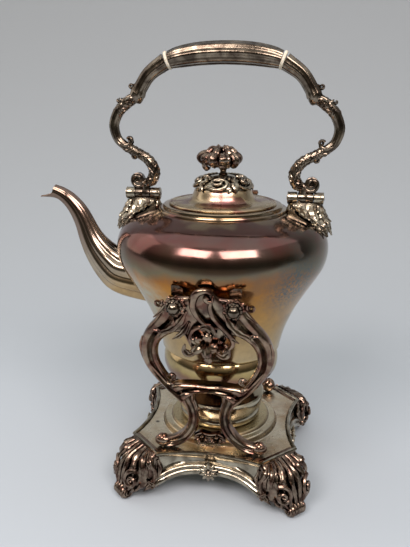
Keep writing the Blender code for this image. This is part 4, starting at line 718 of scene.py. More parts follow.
for sign, word in ((-1, "left"), (1, "right")):
    cast = Casting()
    for end, width in (((36, 0), 13), ((30, 12), 11), ((30, -12), 11), ((20, 19), 10), ((20, -19), 10), ((10, 17), 8),
                       ((10, -17), 8)):
        shoulder_leaf(cast, (5, 0), end, width, 2.4, 4)
    pad = []
    for down, half, lift in ((-2, 15, 7.5), (4, 16, 6.5), (10, 19, 4.6), (18, 21, 3.2), (26, 16, 2.6),
                             (33, 9, 2.2), (37, 4, 1.0)):
        row = [on_shoulder(down, half * a, lift * (1 - 0.55 * a * a))[0] for a in np.linspace(-1, 1, 13)]
        pad.append(row + [on_shoulder(down, half * a, -2.0)[0] for a in np.linspace(1, -1, 5)])
    cast.skin(np.array(pad))
    for end in np.linspace(-1, 1, 7):
        normal = on_shoulder(14, end * 12, 0)[1]
        spots = [on_shoulder(2 + share * (36 - 20 * end * end), share ** 0.7 * end * 21, lift)[0]
                 for share, lift in ((0.0, 7.4), (0.3, 6.2), (0.6, 4.6), (0.85, 4.2), (1.0, 5.0))]
        cast.skin(leaf(spots, 9.5, 2.4, normal, 4))
    flare = np.array([(234, 84.0, 10, 15.5), (240, 81.0, 13, 15.5), (246, 77.5, 15, 14.0), (251, 74.4, 15, 10.5),
                      (255, 73.2, 14.2, 7.6), (258.5, 72.8, 14.0, 5.6), (262.4, 72.8, 14.8, 4.3)])
    path = np.insert(flare[:, [1, 0]], 1, 0.0, axis=1)
    cast.skin(path[:, None] + np.insert(round_section(30)[None] * flare[:, None, 2:], 2, 0.0, axis=2))
    for row, (top, foot, count) in enumerate(((260.0, 246.0, 11), (250.0, 235.0, 12))):
        for k in range(count):
            turn = (k + 0.5 * row) * 2 * math.pi / count
            spots = []
            for z, lift in zip(np.linspace(top, foot, 5), (0.2, 1.4, 1.9, 2.1, 3.6)):
                middle, wide, deep = (np.interp(z, flare[:, 0], flare[:, k]) for k in (1, 2, 3))
                spots.append((middle + (wide + lift) * math.cos(turn), (deep + lift) * math.sin(turn), z))
            cast.skin(leaf(spots, 9.0, 2.2, (math.cos(turn), math.sin(turn), 0.25), 3))
    for x0, x1 in ((57.1, 65.7), (79.9, 88.5)):
        barrel = np.array([(x, 0, BARREL_Z) for x in (x0, x0 + 0.4, x0 + 1.0, x0 + 1.4, x1 - 0.8, x1 - 0.4, x1)])
        size = np.array([4.9, 5.5, 5.5, 5.25, 5.25, 5.4, 4.9])
        cast.skin(sweep(barrel, size, size, round_section(28), (0, 1, 0)))
    made = cast.done("shoulder_leaves_" + word, lambda p, s=sign: p * (s, 1, 1))
    dress(made, LEAF_FINISH, "kettle", ["handle_socket_" + word])

# %% [markdown]
# The brackets are cast in a flat mould, then leaned outward to meet the pins. Each limb is a strip between
# two edges drawn in the plane of the mould, with a moulded face: fat bead, groove, thin bead.
# %% Bracket limbs
LEAN_Y, LEAN, BALL_Z = 61.5, 0.2351, 51.1
HALF_WIDTH, BRACKET_LOW, BRACKET_RISE = 54.7, 44.7, 166.8
PIN_X, PIN_Z, BALL_X = 23.4, 194.9, 43.8
SCROLL_FACE = [(0.0, -3.0), (0.0, 0.8), (0.04, 3.2), (0.13, 5.5), (0.25, 6.5), (0.37, 5.8), (0.47, 3.8), (0.53, 2.3),
               (0.59, 1.9), (0.65, 2.8), (0.73, 4.4), (0.83, 4.9), (0.93, 3.9), (1.0, 1.4), (1.0, -3.0), (0.5, -3.6)]
CHANNEL_FACE = [(0.0, -3.0), (0.0, 1.5), (0.05, 3.6), (0.13, 4.4), (0.21, 3.8), (0.28, 2.0), (0.40, 0.7), (0.5, 0.4),
                (0.60, 0.7), (0.72, 2.0), (0.79, 3.8), (0.87, 4.4), (0.95, 3.6), (1.0, 1.5), (1.0, -3.0), (0.5, -3.6)]
WEB_FACE = [(0.0, -3.0), (0.0, 1.0), (0.05, 2.8), (0.14, 3.2), (0.24, 1.6), (0.5, 0.9), (0.8, 1.4), (0.88, 2.8),
            (0.96, 2.6), (1.0, 1.0), (1.0, -3.0), (0.5, -3.4)]


def in_mould(shares):
    return np.array([(x * HALF_WIDTH, BRACKET_LOW + z * BRACKET_RISE) for x, z in shares])


def strip(outer, inner, face, steps=5):
    """Rings across a limb, from its outer edge to its inner one; the face gives (share across, height)."""
    outer, inner = run(in_mould(outer), steps), run(in_mould(inner), steps)
    face = np.array(face)
    spots = outer[:, None] * (1 - face[None, :, :1]) + inner[:, None] * face[None, :, :1]
    rings = np.insert(spots, 1, 0.0, axis=2)
    rings[:, :, 1] = face[:, 1]
    return rings


SCROLL_OUT = [(0.565, 0.905), (0.640, 0.868), (0.745, 0.822), (0.880, 0.768), (0.972, 0.705), (1.000, 0.640),
              (0.985, 0.580), (0.925, 0.530), (0.820, 0.475), (0.690, 0.420), (0.560, 0.372), (0.440, 0.322)]
SCROLL_IN = [(0.400, 0.785), (0.480, 0.748), (0.580, 0.728), (0.668, 0.702), (0.735, 0.664), (0.760, 0.620),
             (0.752, 0.580), (0.715, 0.542), (0.648, 0.497), (0.560, 0.452), (0.450, 0.412), (0.320, 0.372)]
CROWN_OUT = [(0.0, 0.998), (0.100, 0.990), (0.160, 0.964), (0.225, 0.950), (0.310, 0.942), (0.400, 0.938),
             (0.500, 0.925), (0.590, 0.890)]
CROWN_IN = [(0.0, 0.640), (0.060, 0.632), (0.140, 0.640), (0.220, 0.660), (0.262, 0.686), (0.300, 0.720),
            (0.360, 0.744), (0.470, 0.748)]
BELT_OUT = [(-0.560, 0.440), (-0.400, 0.452), (-0.180, 0.458), (0.0, 0.456), (0.180, 0.458), (0.400, 0.452),
            (0.560, 0.440)]
BELT_IN = [(-0.380, 0.330), (-0.240, 0.372), (-0.120, 0.390), (0.0, 0.394), (0.120, 0.390), (0.240, 0.372),
           (0.380, 0.330)]
LEG_OUT = [(0.500, 0.372), (0.430, 0.330), (0.366, 0.285), (0.338, 0.240), (0.350, 0.198), (0.396, 0.156),
           (0.475, 0.117), (0.570, 0.088), (0.680, 0.072), (0.780, 0.066)]
LEG_IN = [(0.200, 0.392), (0.215, 0.345), (0.182, 0.296), (0.160, 0.242), (0.168, 0.190), (0.205, 0.142),
          (0.300, 0.085), (0.430, 0.040), (0.560, 0.014), (0.700, 0.004)]
FOOT_WEB_OUT = [(-0.260, 0.100), (-0.150, 0.128), (0.0, 0.120), (0.150, 0.128), (0.260, 0.100)]
FOOT_WEB_IN = [(-0.260, 0.064), (-0.130, 0.056), (0.0, 0.052), (0.130, 0.056), (0.260, 0.064)]


def mirror(rings):
    return np.asarray(rings) * (-1, 1, 1)


def rod(points, size, lift=0.0, around=10, flat=1.0):
    """A round rod lying on the mould's face through (x, z) points in millimetres."""
    line = run([(x, lift, z) for x, z in points], 7)
    t = np.linspace(0, 1, len(line))
    thick = np.interp(t, np.linspace(0, 1, len(size)), size)
    return sweep(line, thick, thick * flat, round_section(around), (0, 1, 0))


def face_leaf(points, width, height, lobes=3):
    """A ribbed leaf lying on the mould's face; each point is (x, lift, z)."""
    return leaf([np.array(p, float) for p in points], width, height, (0, 1, 0), lobes)


def blossom(cast, x, lift, z, radius, petals, turn0=0.3):
    """Open flower facing the viewer: cupped, notched petals round a ring of beads."""
    for k in range(petals):
        turn = turn0 + 2 * math.pi * k / petals
        way = np.array([math.cos(turn), 0, math.sin(turn)])
        knots = [np.array([x, lift, z]) + way * radius * s + np.array([0, h, 0])
                 for s, h in ((0.10, 0.2), (0.34, 1.6), (0.62, 3.7), (0.86, 4.2), (1.02, 2.4))]
        cast.skin(leaf(knots, radius * 4.1 / petals, 2.6, (0, 1, 0), 1, 0.5))
        spot = np.array([x, lift + 3.8, z]) + way * radius * 0.64
        cast.skin(drop(spot, way + np.array([0, 0.1, 0]), (0, 1, 0), radius * 0.7, radius * 0.13, 1.3, 6))
    for k in range(6):
        turn = k * math.pi / 3
        spot = (x + math.cos(turn) * radius * 0.19, lift + 3.6, z + math.sin(turn) * radius * 0.19)
        cast.skin(drop(spot, (0, 1, 0), (1, 0, 0), radius * 0.26, radius * 0.17, radius * 0.17, 7))
    cast.skin(drop((x, lift + 3.6, z), (0, 1, 0), (1, 0, 0), radius * 0.6, radius * 0.26, radius * 0.26, 9))


print("bracket limbs:", len(strip(SCROLL_OUT, SCROLL_IN, SCROLL_FACE)), "rings in a scroll")

# %% [markdown]
# One mould serves both sides of the stand. The scrolls and legs come first, then leaves and a curled stem
# over the top, the flowers, and the copper coloured ball feet.
# %% Brackets front and rear
def bracket_mould(name, sign, node_name):
    cast = Casting()
    for turned_round in (False, True):
        for out, inside, face in ((SCROLL_OUT, SCROLL_IN, SCROLL_FACE), (CROWN_OUT, CROWN_IN, WEB_FACE),
                                  (LEG_OUT, LEG_IN, CHANNEL_FACE)):
            rings = strip(out, inside, face)
            cast.skin(mirror(rings) if turned_round else rings)
        flip = -1 if turned_round else 1
        leaves = [([(12, 2, 202), (20, 3.4, 201), (27, 3.6, 197), (34, 4.4, 190), (41, 4.8, 184)], 6.0, 3),
                  ([(15, 1.5, 190), (20, 3.6, 181), (27, 4.4, 174), (35, 4.6, 170), (42, 4.2, 163)], 6.5, 4),
                  ([(13, 1.5, 180), (17, 3.4, 172), (22, 4.0, 167), (27, 4.0, 164)], 5.0, 3),
                  ([(48, 4.6, 168), (44, 5.0, 172), (39, 5.2, 172.5), (36, 5.0, 169), (38, 4.4, 165.5)], 4.0, 2),
                  ([(36, 4.0, 119), (31, 4.4, 117), (27, 4.2, 113), (22, 3.8, 110)], 6.0, 3),
                  ([(31, 3.6, 122), (28, 4.6, 125), (30, 4.6, 129), (34, 4.2, 127)], 4.0, 2),
                  ([(25, 3.4, 104), (22, 4.6, 107), (17, 4.6, 109.5), (13, 4.0, 108)], 4.6, 2)]
        for points, width, lobes in leaves:
            cast.skin(face_leaf([(flip * x, y, z) for x, y, z in points], width, 2.0, lobes))
        for centre, size, begin, turns in (((36.5, 197), 3.9, 2.4, 1.2), ((17.5, 116.5), 2.6, 0.0, 1.1)):
            curl = spiral(centre, size, size * 0.3, turns, begin, 28) * (flip, 1, 1) + (0, 3.2, 0)
            cast.skin(sweep(curl, np.linspace(1.5, 0.9, 28), np.linspace(2.0, 1.3, 28), round_section(8), (0, 1, 0)))
        cast.skin(rod([(flip * x, z) for x, z in ((52, 165), (54, 155), (51.5, 142), (44, 131), (36, 120), (26, 106))],
                      [0.6, 1.7, 1.8, 1.6, 1.3, 0.6], 3.4, 8))
        ball = [(flip * BALL_X, -6.0, BALL_Z), (flip * BALL_X, -5.0, BALL_Z), (flip * BALL_X, -2.8, BALL_Z),
                (flip * BALL_X, 0, BALL_Z), (flip * BALL_X, 3.0, BALL_Z), (flip * BALL_X, 5.2, BALL_Z),
                (flip * BALL_X, 6.2, BALL_Z)]
        reach = np.sqrt(np.clip(6.4 ** 2 - np.array([p[1] for p in ball]) ** 2, 0.5, None))
        cast.skin(sweep(np.array(ball, float), reach * 1.12, reach, round_section(24), (0, 0, 1)))
        for lap in range(5):
            turn = lap * 2 * math.pi / 5 + 0.3
            way = np.array([math.cos(turn), math.sin(turn), 0])
            spot = np.array([flip * BALL_X, 0, BALL_Z]) + way * 3.6 + (0, 0, 4.7)
            cast.skin(drop(spot, way - (0, 0, 0.75), way + (0, 0, 1.2), 7.5, 4.4, 2.6, 8))
        boss = [(flip * PIN_X, y, PIN_Z) for y in (-3.4, -3.0, 0.0, 3.0, 4.4, 4.6)]
        cast.skin(sweep(np.array(boss, float), [8, 8.5, 8.6, 8.6, 7.9, 6.2], [8, 8.5, 8.6, 8.6, 7.9, 6.2],
                        round_section(28, 7, 0.05), (0, 0, 1)))
        for k in range(9):
            turn = k * 2 * math.pi / 9
            spot = (flip * PIN_X + 7.7 * math.cos(turn), 4.0, PIN_Z + 7.7 * math.sin(turn))
            cast.skin(drop(spot, (math.cos(turn), 0, math.sin(turn)), (0, 1, 0), 5.4, 3.8, 3.2, 8))
    cast.skin(strip(BELT_OUT, BELT_IN, SCROLL_FACE, 6))
    cast.skin(strip(FOOT_WEB_OUT, FOOT_WEB_IN, WEB_FACE))
    cast.skin(rod([(5.5, 207), (1.0, 209.5), (-5.0, 207.5), (-8.5, 201), (-8.8, 193), (-5.5, 186), (0.5, 179.5),
                   (6.5, 176.5), (12, 177.0)], [1.0, 2.6, 3.4, 3.3, 2.6, 2.2, 1.9, 1.4, 0.5], 3.4, 12))
    cast.skin(rod([(3.6, 205.0), (1.5, 203.0), (3.2, 200.6), (6.4, 201.4), (7.0, 204.6)],
                  [2.4, 2.4, 1.8, 1.3, 0.7], 4.4))
    cast.skin(rod([(7.5, 206), (4.5, 196), (6.5, 187), (12.5, 179), (19, 171), (22.0, 163), (18.5, 157.5), (15.5, 161)],
                  [0.6, 1.8, 2.3, 2.4, 2.2, 1.9, 1.5, 0.8], 3.2, 12))
    cast.skin(rod([(-11.5, 158), (-12.0, 166), (-9.0, 174), (-2.0, 177.5), (3.0, 173.5), (1.0, 168.5), (-3.0, 170)],
                  [0.6, 1.9, 2.2, 2.1, 1.8, 1.4, 0.7], 3.6))
    for points in ([(-5, 4.6, 176), (1, 5.4, 178.5), (6.5, 5.2, 175), (8, 4.8, 169)],
                   [(9, 3.6, 152), (14, 4.6, 150), (18, 4.4, 153), (19, 4.0, 158)],
                   [(-9, 3.6, 152), (-14, 4.4, 150), (-18, 4.0, 154), (-17, 3.6, 160)],
                   [(1, 4.4, 150), (1.5, 5.0, 145), (0, 4.4, 140.5)]):
        cast.skin(face_leaf(points, 6.2, 2.0, 2))
    blossom(cast, -1.0, 3.2, 160.0, 12.0, 5, 1.2)
    blossom(cast, 12.6, 3.0, 160.5, 6.2, 5, 0.4)
    for x in (-6.4, 6.4):
        blossom(cast, x, 2.6, 59.6, 4.9, 5)

    def stand_up(points):
        lean = LEAN_Y + LEAN * (points[:, 2] - BALL_Z)
        return np.stack([points[:, 0], sign * (lean + points[:, 1]), points[:, 2]], 1)

    made = cast.done(name, stand_up, math.radians(45))
    return dress(made, BRACKET_FINISH, "stand", [node_name])


bracket_mould("cast_bracket_front", -1, "bracket_front")
bracket_mould("cast_bracket_rear", 1, "bracket_rear")

# %% [markdown]
# The pins carry the kettle. Their heads are small silver buds with a beaded collar, pulled by hand.
# %% Pins
for sign, word in ((-1, "front"), (1, "rear")):
    for side, hand in ((-1, "left"), (1, "right")):
        node_name = "kettle_pin_%s_%s" % (word, hand)
        low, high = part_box(node_name)
        reach = sorted((abs(low.y), abs(high.y)))
        inner_end, outer_end = reach[0] / MM, reach[1] / MM
        radius = 2.4
        cast = Casting()
        x, z = side * PIN_X, PIN_Z
        rod_path = np.array([(x, sign * y, z) for y in (inner_end, inner_end + 0.6, outer_end - 3.4, outer_end - 1.5)])
        cast.skin(sweep(rod_path, [radius * 0.7, radius, radius, radius], [radius * 0.7, radius, radius, radius],
                        round_section(20), (0, 0, 1)))
        face = outer_end - 3.2
        bud = [(face, 5.2), (face + 0.5, 6.0), (face + 1.2, 5.4), (face + 1.8, 4.4), (face + 3.2, 4.6),
               (face + 4.8, 4.0), (face + 6.0, 2.6), (face + 6.6, 0.8)]
        path = np.array([(x, sign * y, z) for y, _ in bud])
        size = [r for _, r in bud]
        cast.skin(sweep(path, size, size, round_section(24, 6, 0.06), (0, 0, 1)))
        for k in range(12):
            turn = k * math.pi / 6
            spot = (x + 5.6 * math.cos(turn), sign * (face + 1.7), z + 5.6 * math.sin(turn))
            cast.skin(drop(spot, (0, sign, 0), (1, 0, 0), 3.0, 2.7, 2.7, 8))
        made = cast.done("bud_headed_pin_%s_%s" % (word, hand))
        dress(made, HANDLE_FINISH, "pin_%s_%s" % (word, hand), [node_name])
keep(["kettle_strap_%s_%s" % (w, h) for w in ("front", "rear") for h in ("left", "right")], HANDLE_FINISH)
HIDDEN = ("handle_hinge_pin", "lid_hinge_pin", "handle_tenon", "finial_nut", "bracket_screw")
FASTENERS = [name for name in nodes if name.startswith(HIDDEN)]
keep(FASTENERS, STEEL)
print("fasteners:", len(FASTENERS), "with", sum(len(nodes[name].material_slots) for name in FASTENERS), "slots")

# %% [markdown]
# The base is a square plateau with hollow sides and cut corners. Its plan is drawn once, and the border's
# moulding is carried round it; the lower edge drops toward the corners to meet the feet.
# %% Base plan
PLATE_HALF, CHAMFER_HALF, HOLLOW, ARCH = 77.1, 46.3, 8.4, 12.0
BORDER_LOW, BORDER_RISE = 25.2, 21.0
along = np.linspace(-1, 1, 25)


def plan():
    """Corner points, outward directions and arch shares all round the plateau."""
    spots, ways, drops = [], [], []
    for quarter in range(4):
        turn = quarter * math.pi / 2
        c, s = math.cos(turn), math.sin(turn)
        for t in along:
            slope = np.array([-2 * HOLLOW * t / CHAMFER_HALF, -1.0])
            slope /= np.linalg.norm(slope)
            if abs(t) == 1:
                corner = np.array([math.copysign(1, t), -1]) / math.sqrt(2)
                middle = (slope + corner) / np.linalg.norm(slope + corner)
                slope = middle / np.dot(middle, corner)
            x, y = t * CHAMFER_HALF, -PLATE_HALF + HOLLOW * (1 - t * t)
            spots.append((c * x - s * y, s * x + c * y))
            ways.append((c * slope[0] - s * slope[1], s * slope[0] + c * slope[1]))
            drops.append(abs(t) ** 3)
        for t in np.linspace(0, 1, 9)[1:-1]:
            x, y = mix(CHAMFER_HALF, PLATE_HALF, t), -mix(PLATE_HALF, CHAMFER_HALF, t)
            spots.append((c * x - s * y, s * x + c * y))
            ways.append(((c + s) * math.sqrt(0.5), (s - c) * math.sqrt(0.5)))
            drops.append(1.0)
    return np.array(spots), np.array(ways), np.array(drops)


plan_spots, plan_ways, plan_drops = plan()
MOULDING = [(-3.3, 0.80, 0.0), (-3.3, 0.95, 0.0), (-2.4, 0.99, 0.0), (-1.4, 1.00, 0.0), (-0.5, 0.985, 0.0),
            (0.0, 0.935, 0.0), (-0.2, 0.885, 0.0), (-0.9, 0.84, 0.0), (-1.7, 0.76, 0.05), (-2.3, 0.67, 0.2),
            (-2.4, 0.58, 0.45), (-1.9, 0.515, 0.75), (-0.9, 0.485, 0.95), (0.5, 0.48, 1.0), (1.3, 0.47, 1.0),
            (2.2, 0.435, 1.0), (2.8, 0.38, 1.0), (2.7, 0.32, 1.0), (2.1, 0.285, 1.0), (1.8, 0.26, 1.0),
            (2.2, 0.23, 1.0),
            (3.0, 0.20, 1.0), (3.5, 0.14, 1.0), (3.4, 0.07, 1.0), (2.7, 0.02, 1.0), (1.6, 0.0, 1.0), (0.4, 0.03, 1.0),
            (-0.8, 0.30, 1.0), (-4.4, 0.52, 0.5), (-6.2, 0.73, 0.0), (-6.2, 0.80, 0.0)]
rings = []
for depth, height, fall in MOULDING:
    flat = plan_spots + plan_ways * depth
    level = BORDER_LOW + height * BORDER_RISE - fall * ARCH * plan_drops
    rings.append(np.column_stack([flat, level]))
border = Casting().skin(np.array(rings), loop=True).done("moulded_border", sharp=math.radians(28))
dress(border, BORDER_FINISH, "stand", ["base_border"])

# %% [markdown]
# The top of the base was stamped from one sheet, with two soft round steps for the lamp.
# %% Plateau
turns = np.arctan2(plan_spots[:, 1], plan_spots[:, 0])
inset = plan_spots - plan_ways * 3.7
edge = np.column_stack([inset, np.full(len(inset), 0.0)])


def round_ring(radius, height):
    return np.column_stack([radius * np.cos(turns), radius * np.sin(turns), np.full(len(turns), height)])


fine = []
for share, height in ((1.0, 42.4), (1.0, 44.0), (0.996, 44.35), (0.988, 44.4)):
    fine.append(edge * share + (0, 0, height))
fine.append(mix(edge, round_ring(57.0, 0), 0.5) + (0, 0, 44.4))
for radius, height in ((57.6, 44.4), (56.4, 44.5), (55.5, 45.2), (55.0, 46.6), (54.6, 48.0), (53.8, 48.9), (52.6, 49.2),
                       (49.4, 49.2), (48.4, 49.4), (47.7, 50.2), (47.2, 51.2), (46.4, 51.8), (45.4, 52.0), (30.0, 52.0),
                       (5.0, 52.0)):
    fine.append(round_ring(radius, height))
plateau = Casting().skin(np.array(fine)).done("stamped_plateau", sharp=math.radians(50))
dress(plateau, TABLE_FINISH, "stand", ["base_plate"])

# %% [markdown]
# Each corner stands on a cast acanthus foot. Ribbed leaves fall from the corner, two C scrolls sit on its
# sides like eyes, and everything gathers into a toe rolled like a shell.
# %% Feet
FOOT_AT, FOOT_OUT, FOOT_WIDE = 83.0, 33.2, 22.2
FOOT_ROWS = np.array([(0.090, 0.80, 0.62, 0.30), (0.190, 0.85, 0.45, 0.62), (0.300, 0.85, 0.25, 0.96),
                      (0.430, 0.83, 0.24, 0.99), (0.610, 0.78, 0.22, 1.00), (0.790, 0.66, 0.20, 1.00),
                      (0.920, 0.45, 0.17, 0.96), (0.990, 0.20, 0.12, 0.86)])


def on_foot(across, height, lift=0.0):
    """Point on the foot's core: across from -1 to 1, height as a share of its top, lift outward."""
    ridge, base, wide = (np.interp(height, FOOT_ROWS[:, 0], FOOT_ROWS[:, k]) for k in (1, 2, 3))
    swell = base + (ridge - base) * max(1 - across * across, 0) ** 0.4
    out = np.array([FOOT_AT + swell * FOOT_OUT, across * FOOT_WIDE * wide, height * 46.2])
    way = np.array([1.0, across * 0.9, 0.25])
    return out + way / np.linalg.norm(way) * lift


def foot_mould(name, turn, node_name):
    cast = Casting()
    rings = []
    for height in np.linspace(0.10, 0.985, 16):
        front = [on_foot(a, height, -1.2) for a in -np.cos(np.linspace(0, math.pi, 19))]
        back = [np.array([FOOT_AT - 1.5, front[end][1], front[end][2]]) for end in (-1, 0)]
        rings.append(front + back)
    cast.skin(np.array(rings))
    for flip in (-1, 1):
        for knots, width in (([(0.12, 0.99, 0), (0.10, 0.86, 1.6), (0.16, 0.66, 2.2), (0.12, 0.42, 2.0),
                               (0.10, 0.2, 2.4)], 5.2),
                             ([(0.36, 0.99, 0), (0.40, 0.88, 1.6), (0.50, 0.72, 2.2), (0.36, 0.56, 1.8)], 6.4),
                             ([(0.62, 0.98, 0), (0.72, 0.88, 1.4), (0.84, 0.74, 1.8), (0.90, 0.58, 1.8)], 6.4),
                             ([(0.80, 0.97, 0), (0.95, 0.84, 1.2), (1.02, 0.64, 1.8), (1.04, 0.42, 1.8)], 5.6),
                             ([(0.30, 0.50, 1.4), (0.34, 0.36, 1.8), (0.36, 0.24, 1.6), (0.30, 0.12, 2.2)], 3.4),
                             ([(0.62, 0.36, 1.4), (0.68, 0.28, 1.8), (0.74, 0.20, 1.6), (0.66, 0.10, 1.8)], 3.6),
                             ([(0.98, 0.46, 1.2), (1.02, 0.36, 2.4), (1.06, 0.30, 2.6), (1.12, 0.30, 1.6)], 4.6)):
            spots = [on_foot(flip * a, h, l) for a, h, l in knots]
            cast.skin(leaf(spots, width, 2.2, (1, 0.8 * flip * knots[1][0], 0.3), 3))
        t = np.linspace(0, 1, 40)
        reach = 0.16 ** t
        turn_t = math.pi * 0.4 + t * 3.2 * math.pi
        curl = [on_foot(flip * (0.58 + 0.36 * r * math.cos(a)), 0.47 + 0.21 * r * math.sin(a), 2.2 + 2.0 * s)
                for r, a, s in zip(reach, turn_t, t)]
        cast.skin(sweep(np.array(curl), np.linspace(2.3, 1.2, 40), np.linspace(2.3, 1.2, 40), round_section(9),
                        (1, 0.3 * flip, 0.2)))
        cast.skin(drop(on_foot(flip * 0.60, 0.47, 3.6), (1, 0.5 * flip, 0.1), (0, 0, 1), 4.4, 3.2, 3.2, 9))
        wing = [(90, flip * 19.0, 34), (90.5, flip * 21.5, 27), (90, flip * 22.6, 20), (88.5, flip * 22.0, 14.6)]
        cast.skin(leaf([np.array(p, float) for p in wing], 7.0, 2.2, (1, 1.6 * flip, 0.2), 3))
        for knots, wide in (([(86.5, 21.6, 39), (86.4, 23.2, 31), (87.4, 23.4, 22), (88, 22.6, 14)], 7.0),
                            ([(91, 21.0, 41), (93, 22.4, 34), (93.2, 22.2, 26), (91.5, 21.4, 19)], 6.4),
                            ([(89.5, 22.4, 26), (92.5, 22.8, 20), (96, 21, 14), (99, 18.4, 10)], 5.0)):
            spots = [np.array((x, flip * y, z), float) for x, y, z in knots]
            cast.skin(leaf(spots, wide, 2.2, (0.5, flip, 0.1), 3))
        winding = zip(np.linspace(1, 0.3, 18), np.linspace(0.6, 7.4, 18))
        hook = [(88.4 + 2.6 * r * math.cos(a) * 0.6, flip * (21.5 - 2.8 * r * math.cos(a)),
                 15.0 + 2.8 * r * math.sin(a)) for r, a in winding]
        thick = np.linspace(1.5, 0.9, 18)
        cast.skin(sweep(np.array(hook), thick, thick, round_section(8), (1, 1.5 * flip, 0)))
    for k in range(7):
        across = -0.84 + 0.28 * k
        ridge = [on_foot(across, 0.40, 0.2), on_foot(across * 0.96, 0.30, 0.9), on_foot(across * 0.92, 0.2, 0.9),
                 on_foot(across * 0.8, 0.11, 1.0)]
        line = run(ridge, 5)
        cast.skin(tube(line, np.linspace(1.0, 1.7, len(line)), 8, (0, 1, 0.1)))
    toe = [(110.6, y, 6.4) for y in (-7.6, -7.2, -6.0, -3.6, 0.0, 3.6, 6.0, 7.2, 7.6)]
    reach = [4.6, 5.6, 6.2, 5.4, 5.0, 5.4, 6.2, 5.6, 4.6]
    cast.skin(sweep(np.array(toe), reach, reach, round_section(26), (0, 0, 1)))
    for flip in (-1, 1):
        t = np.linspace(0, 1, 34)
        reach = 5.3 * (1.2 / 5.3) ** t
        turn_t = math.pi * 0.9 + t * 3.6 * math.pi
        coil = np.stack([110.6 + reach * np.cos(turn_t), np.full(34, flip * 7.6) + flip * t * 1.2,
                         6.6 + reach * np.sin(turn_t)], 1)
        cast.skin(sweep(coil, np.linspace(1.2, 0.8, 34), np.linspace(1.3, 1.0, 34), round_section(8), (0, 1, 0)))
    for y in (-3.4, 0.0, 3.4):
        roll = [(109, y, 13.4), (113.4, y, 12.2), (116.2, y, 8.8), (116.0, y, 4.6), (113.0, y, 1.6)]
        cast.skin(leaf([np.array(p, float) for p in roll], 3.6, 1.7, (1, 0, 0.8), 2, 0.5))
    c, s = math.cos(turn), math.sin(turn)

    def to_corner(points):
        points = points.copy()
        points[:, 2] = np.maximum(points[:, 2], 0.05)
        return np.stack([c * points[:, 0] - s * points[:, 1], s * points[:, 0] + c * points[:, 1], points[:, 2]], 1)

    return dress(cast.done(name, to_corner), FOOT_FINISH, "stand", [node_name])


for word, degrees in (("front_left", 225), ("front_right", 315), ("rear_right", 45), ("rear_left", 135)):
    foot_mould("acanthus_foot_" + word, math.radians(degrees), "foot_" + word)

# %% [markdown]
# A small fluted shell covers the seam in the middle of each side of the border.
# %% Side shells
SHELL_Y, SHELL_Z = 68.7, 29.5
for word, degrees in (("front", 0), ("right", 90), ("rear", 180), ("left", 270)):
    cast = Casting()
    base = np.array([(0, -y, SHELL_Z) for y in (SHELL_Y - 3.6, SHELL_Y + 1.0, SHELL_Y + 3.4, SHELL_Y + 4.4)], float)
    cast.skin(sweep(base, [6.4, 6.6, 5.6, 3.2], [7.2, 7.6, 6.4, 3.6], round_section(20), (0, 0, 1)))
    for k in range(10):
        turn = math.pi / 2 + k * math.pi / 5
        way = np.array([math.cos(turn), -0.05, math.sin(turn) * 1.12])
        length = 8.4 if k else 10.6
        spot = np.array([0, -(SHELL_Y + 3.8), SHELL_Z]) + way * (length / 2 + 0.8)
        cast.skin(drop(spot, way, (0, -1, 0), length, 4.5, 4.6, 10, 7))
    cast.skin(drop((0, -(SHELL_Y + 5.2), SHELL_Z), (0, -1, 0), (0, 0, 1), 4.4, 4.2, 4.2, 12))
    c, s = math.cos(math.radians(degrees)), math.sin(math.radians(degrees))
    made = cast.done("fluted_shell_" + word, lambda p, c=c, s=s: np.stack(
        [c * p[:, 0] - s * p[:, 1], s * p[:, 0] + c * p[:, 1], p[:, 2]], 1))
    dress(made, LEAF_FINISH, "stand", ["side_shell_" + word])

# %% [markdown]
# The lamp is a squat spun drum with a fat ring near its shoulder, and a plain screwed burner on top.
# %% Spirit lamp
LAMP = [(2.0, 52.3), (33.8, 52.3), (36.2, 52.5), (38.0, 53.2), (38.9, 54.6), (39.2, 57.0), (39.0, 59.4), (38.0, 61.2),
        (38.2, 62.4), (39.6, 63.4), (40.8, 64.6), (41.4, 67.6), (41.9, 71.0), (42.3, 74.0), (42.2, 75.6), (41.0, 76.8),
        (39.4, 77.2), (38.2, 77.6), (33.2, 80.4), (28.4, 82.4), (23.6, 83.8), (18.6, 84.9), (13.8, 85.5), (9.4, 85.6),
        (9.4, 84.0), (9.3, 80.0), (2.0, 79.8)]
lamp = turned("spun_lamp_drum", LAMP, 96)
dress(lamp, LAMP_FINISH, "lamp", ["lamp_font"])
COLLAR = [(4.1, 81.0), (9.0, 81.0), (9.0, 85.9), (11.4, 85.9), (12.3, 86.2), (12.5, 87.0), (12.2, 87.8), (11.2, 88.1),
          (6.4, 88.2), (5.5, 88.6), (5.2, 89.4), (5.2, 92.0), (5.0, 92.7), (4.6, 92.8), (4.1, 92.6), (4.1, 81.0)]
collar = turned("burner_collar_turned", COLLAR, 48, hole=True)
dress(collar, HANDLE_FINISH, "lamp", ["burner_collar"])
keep(["wick"], COTTON)
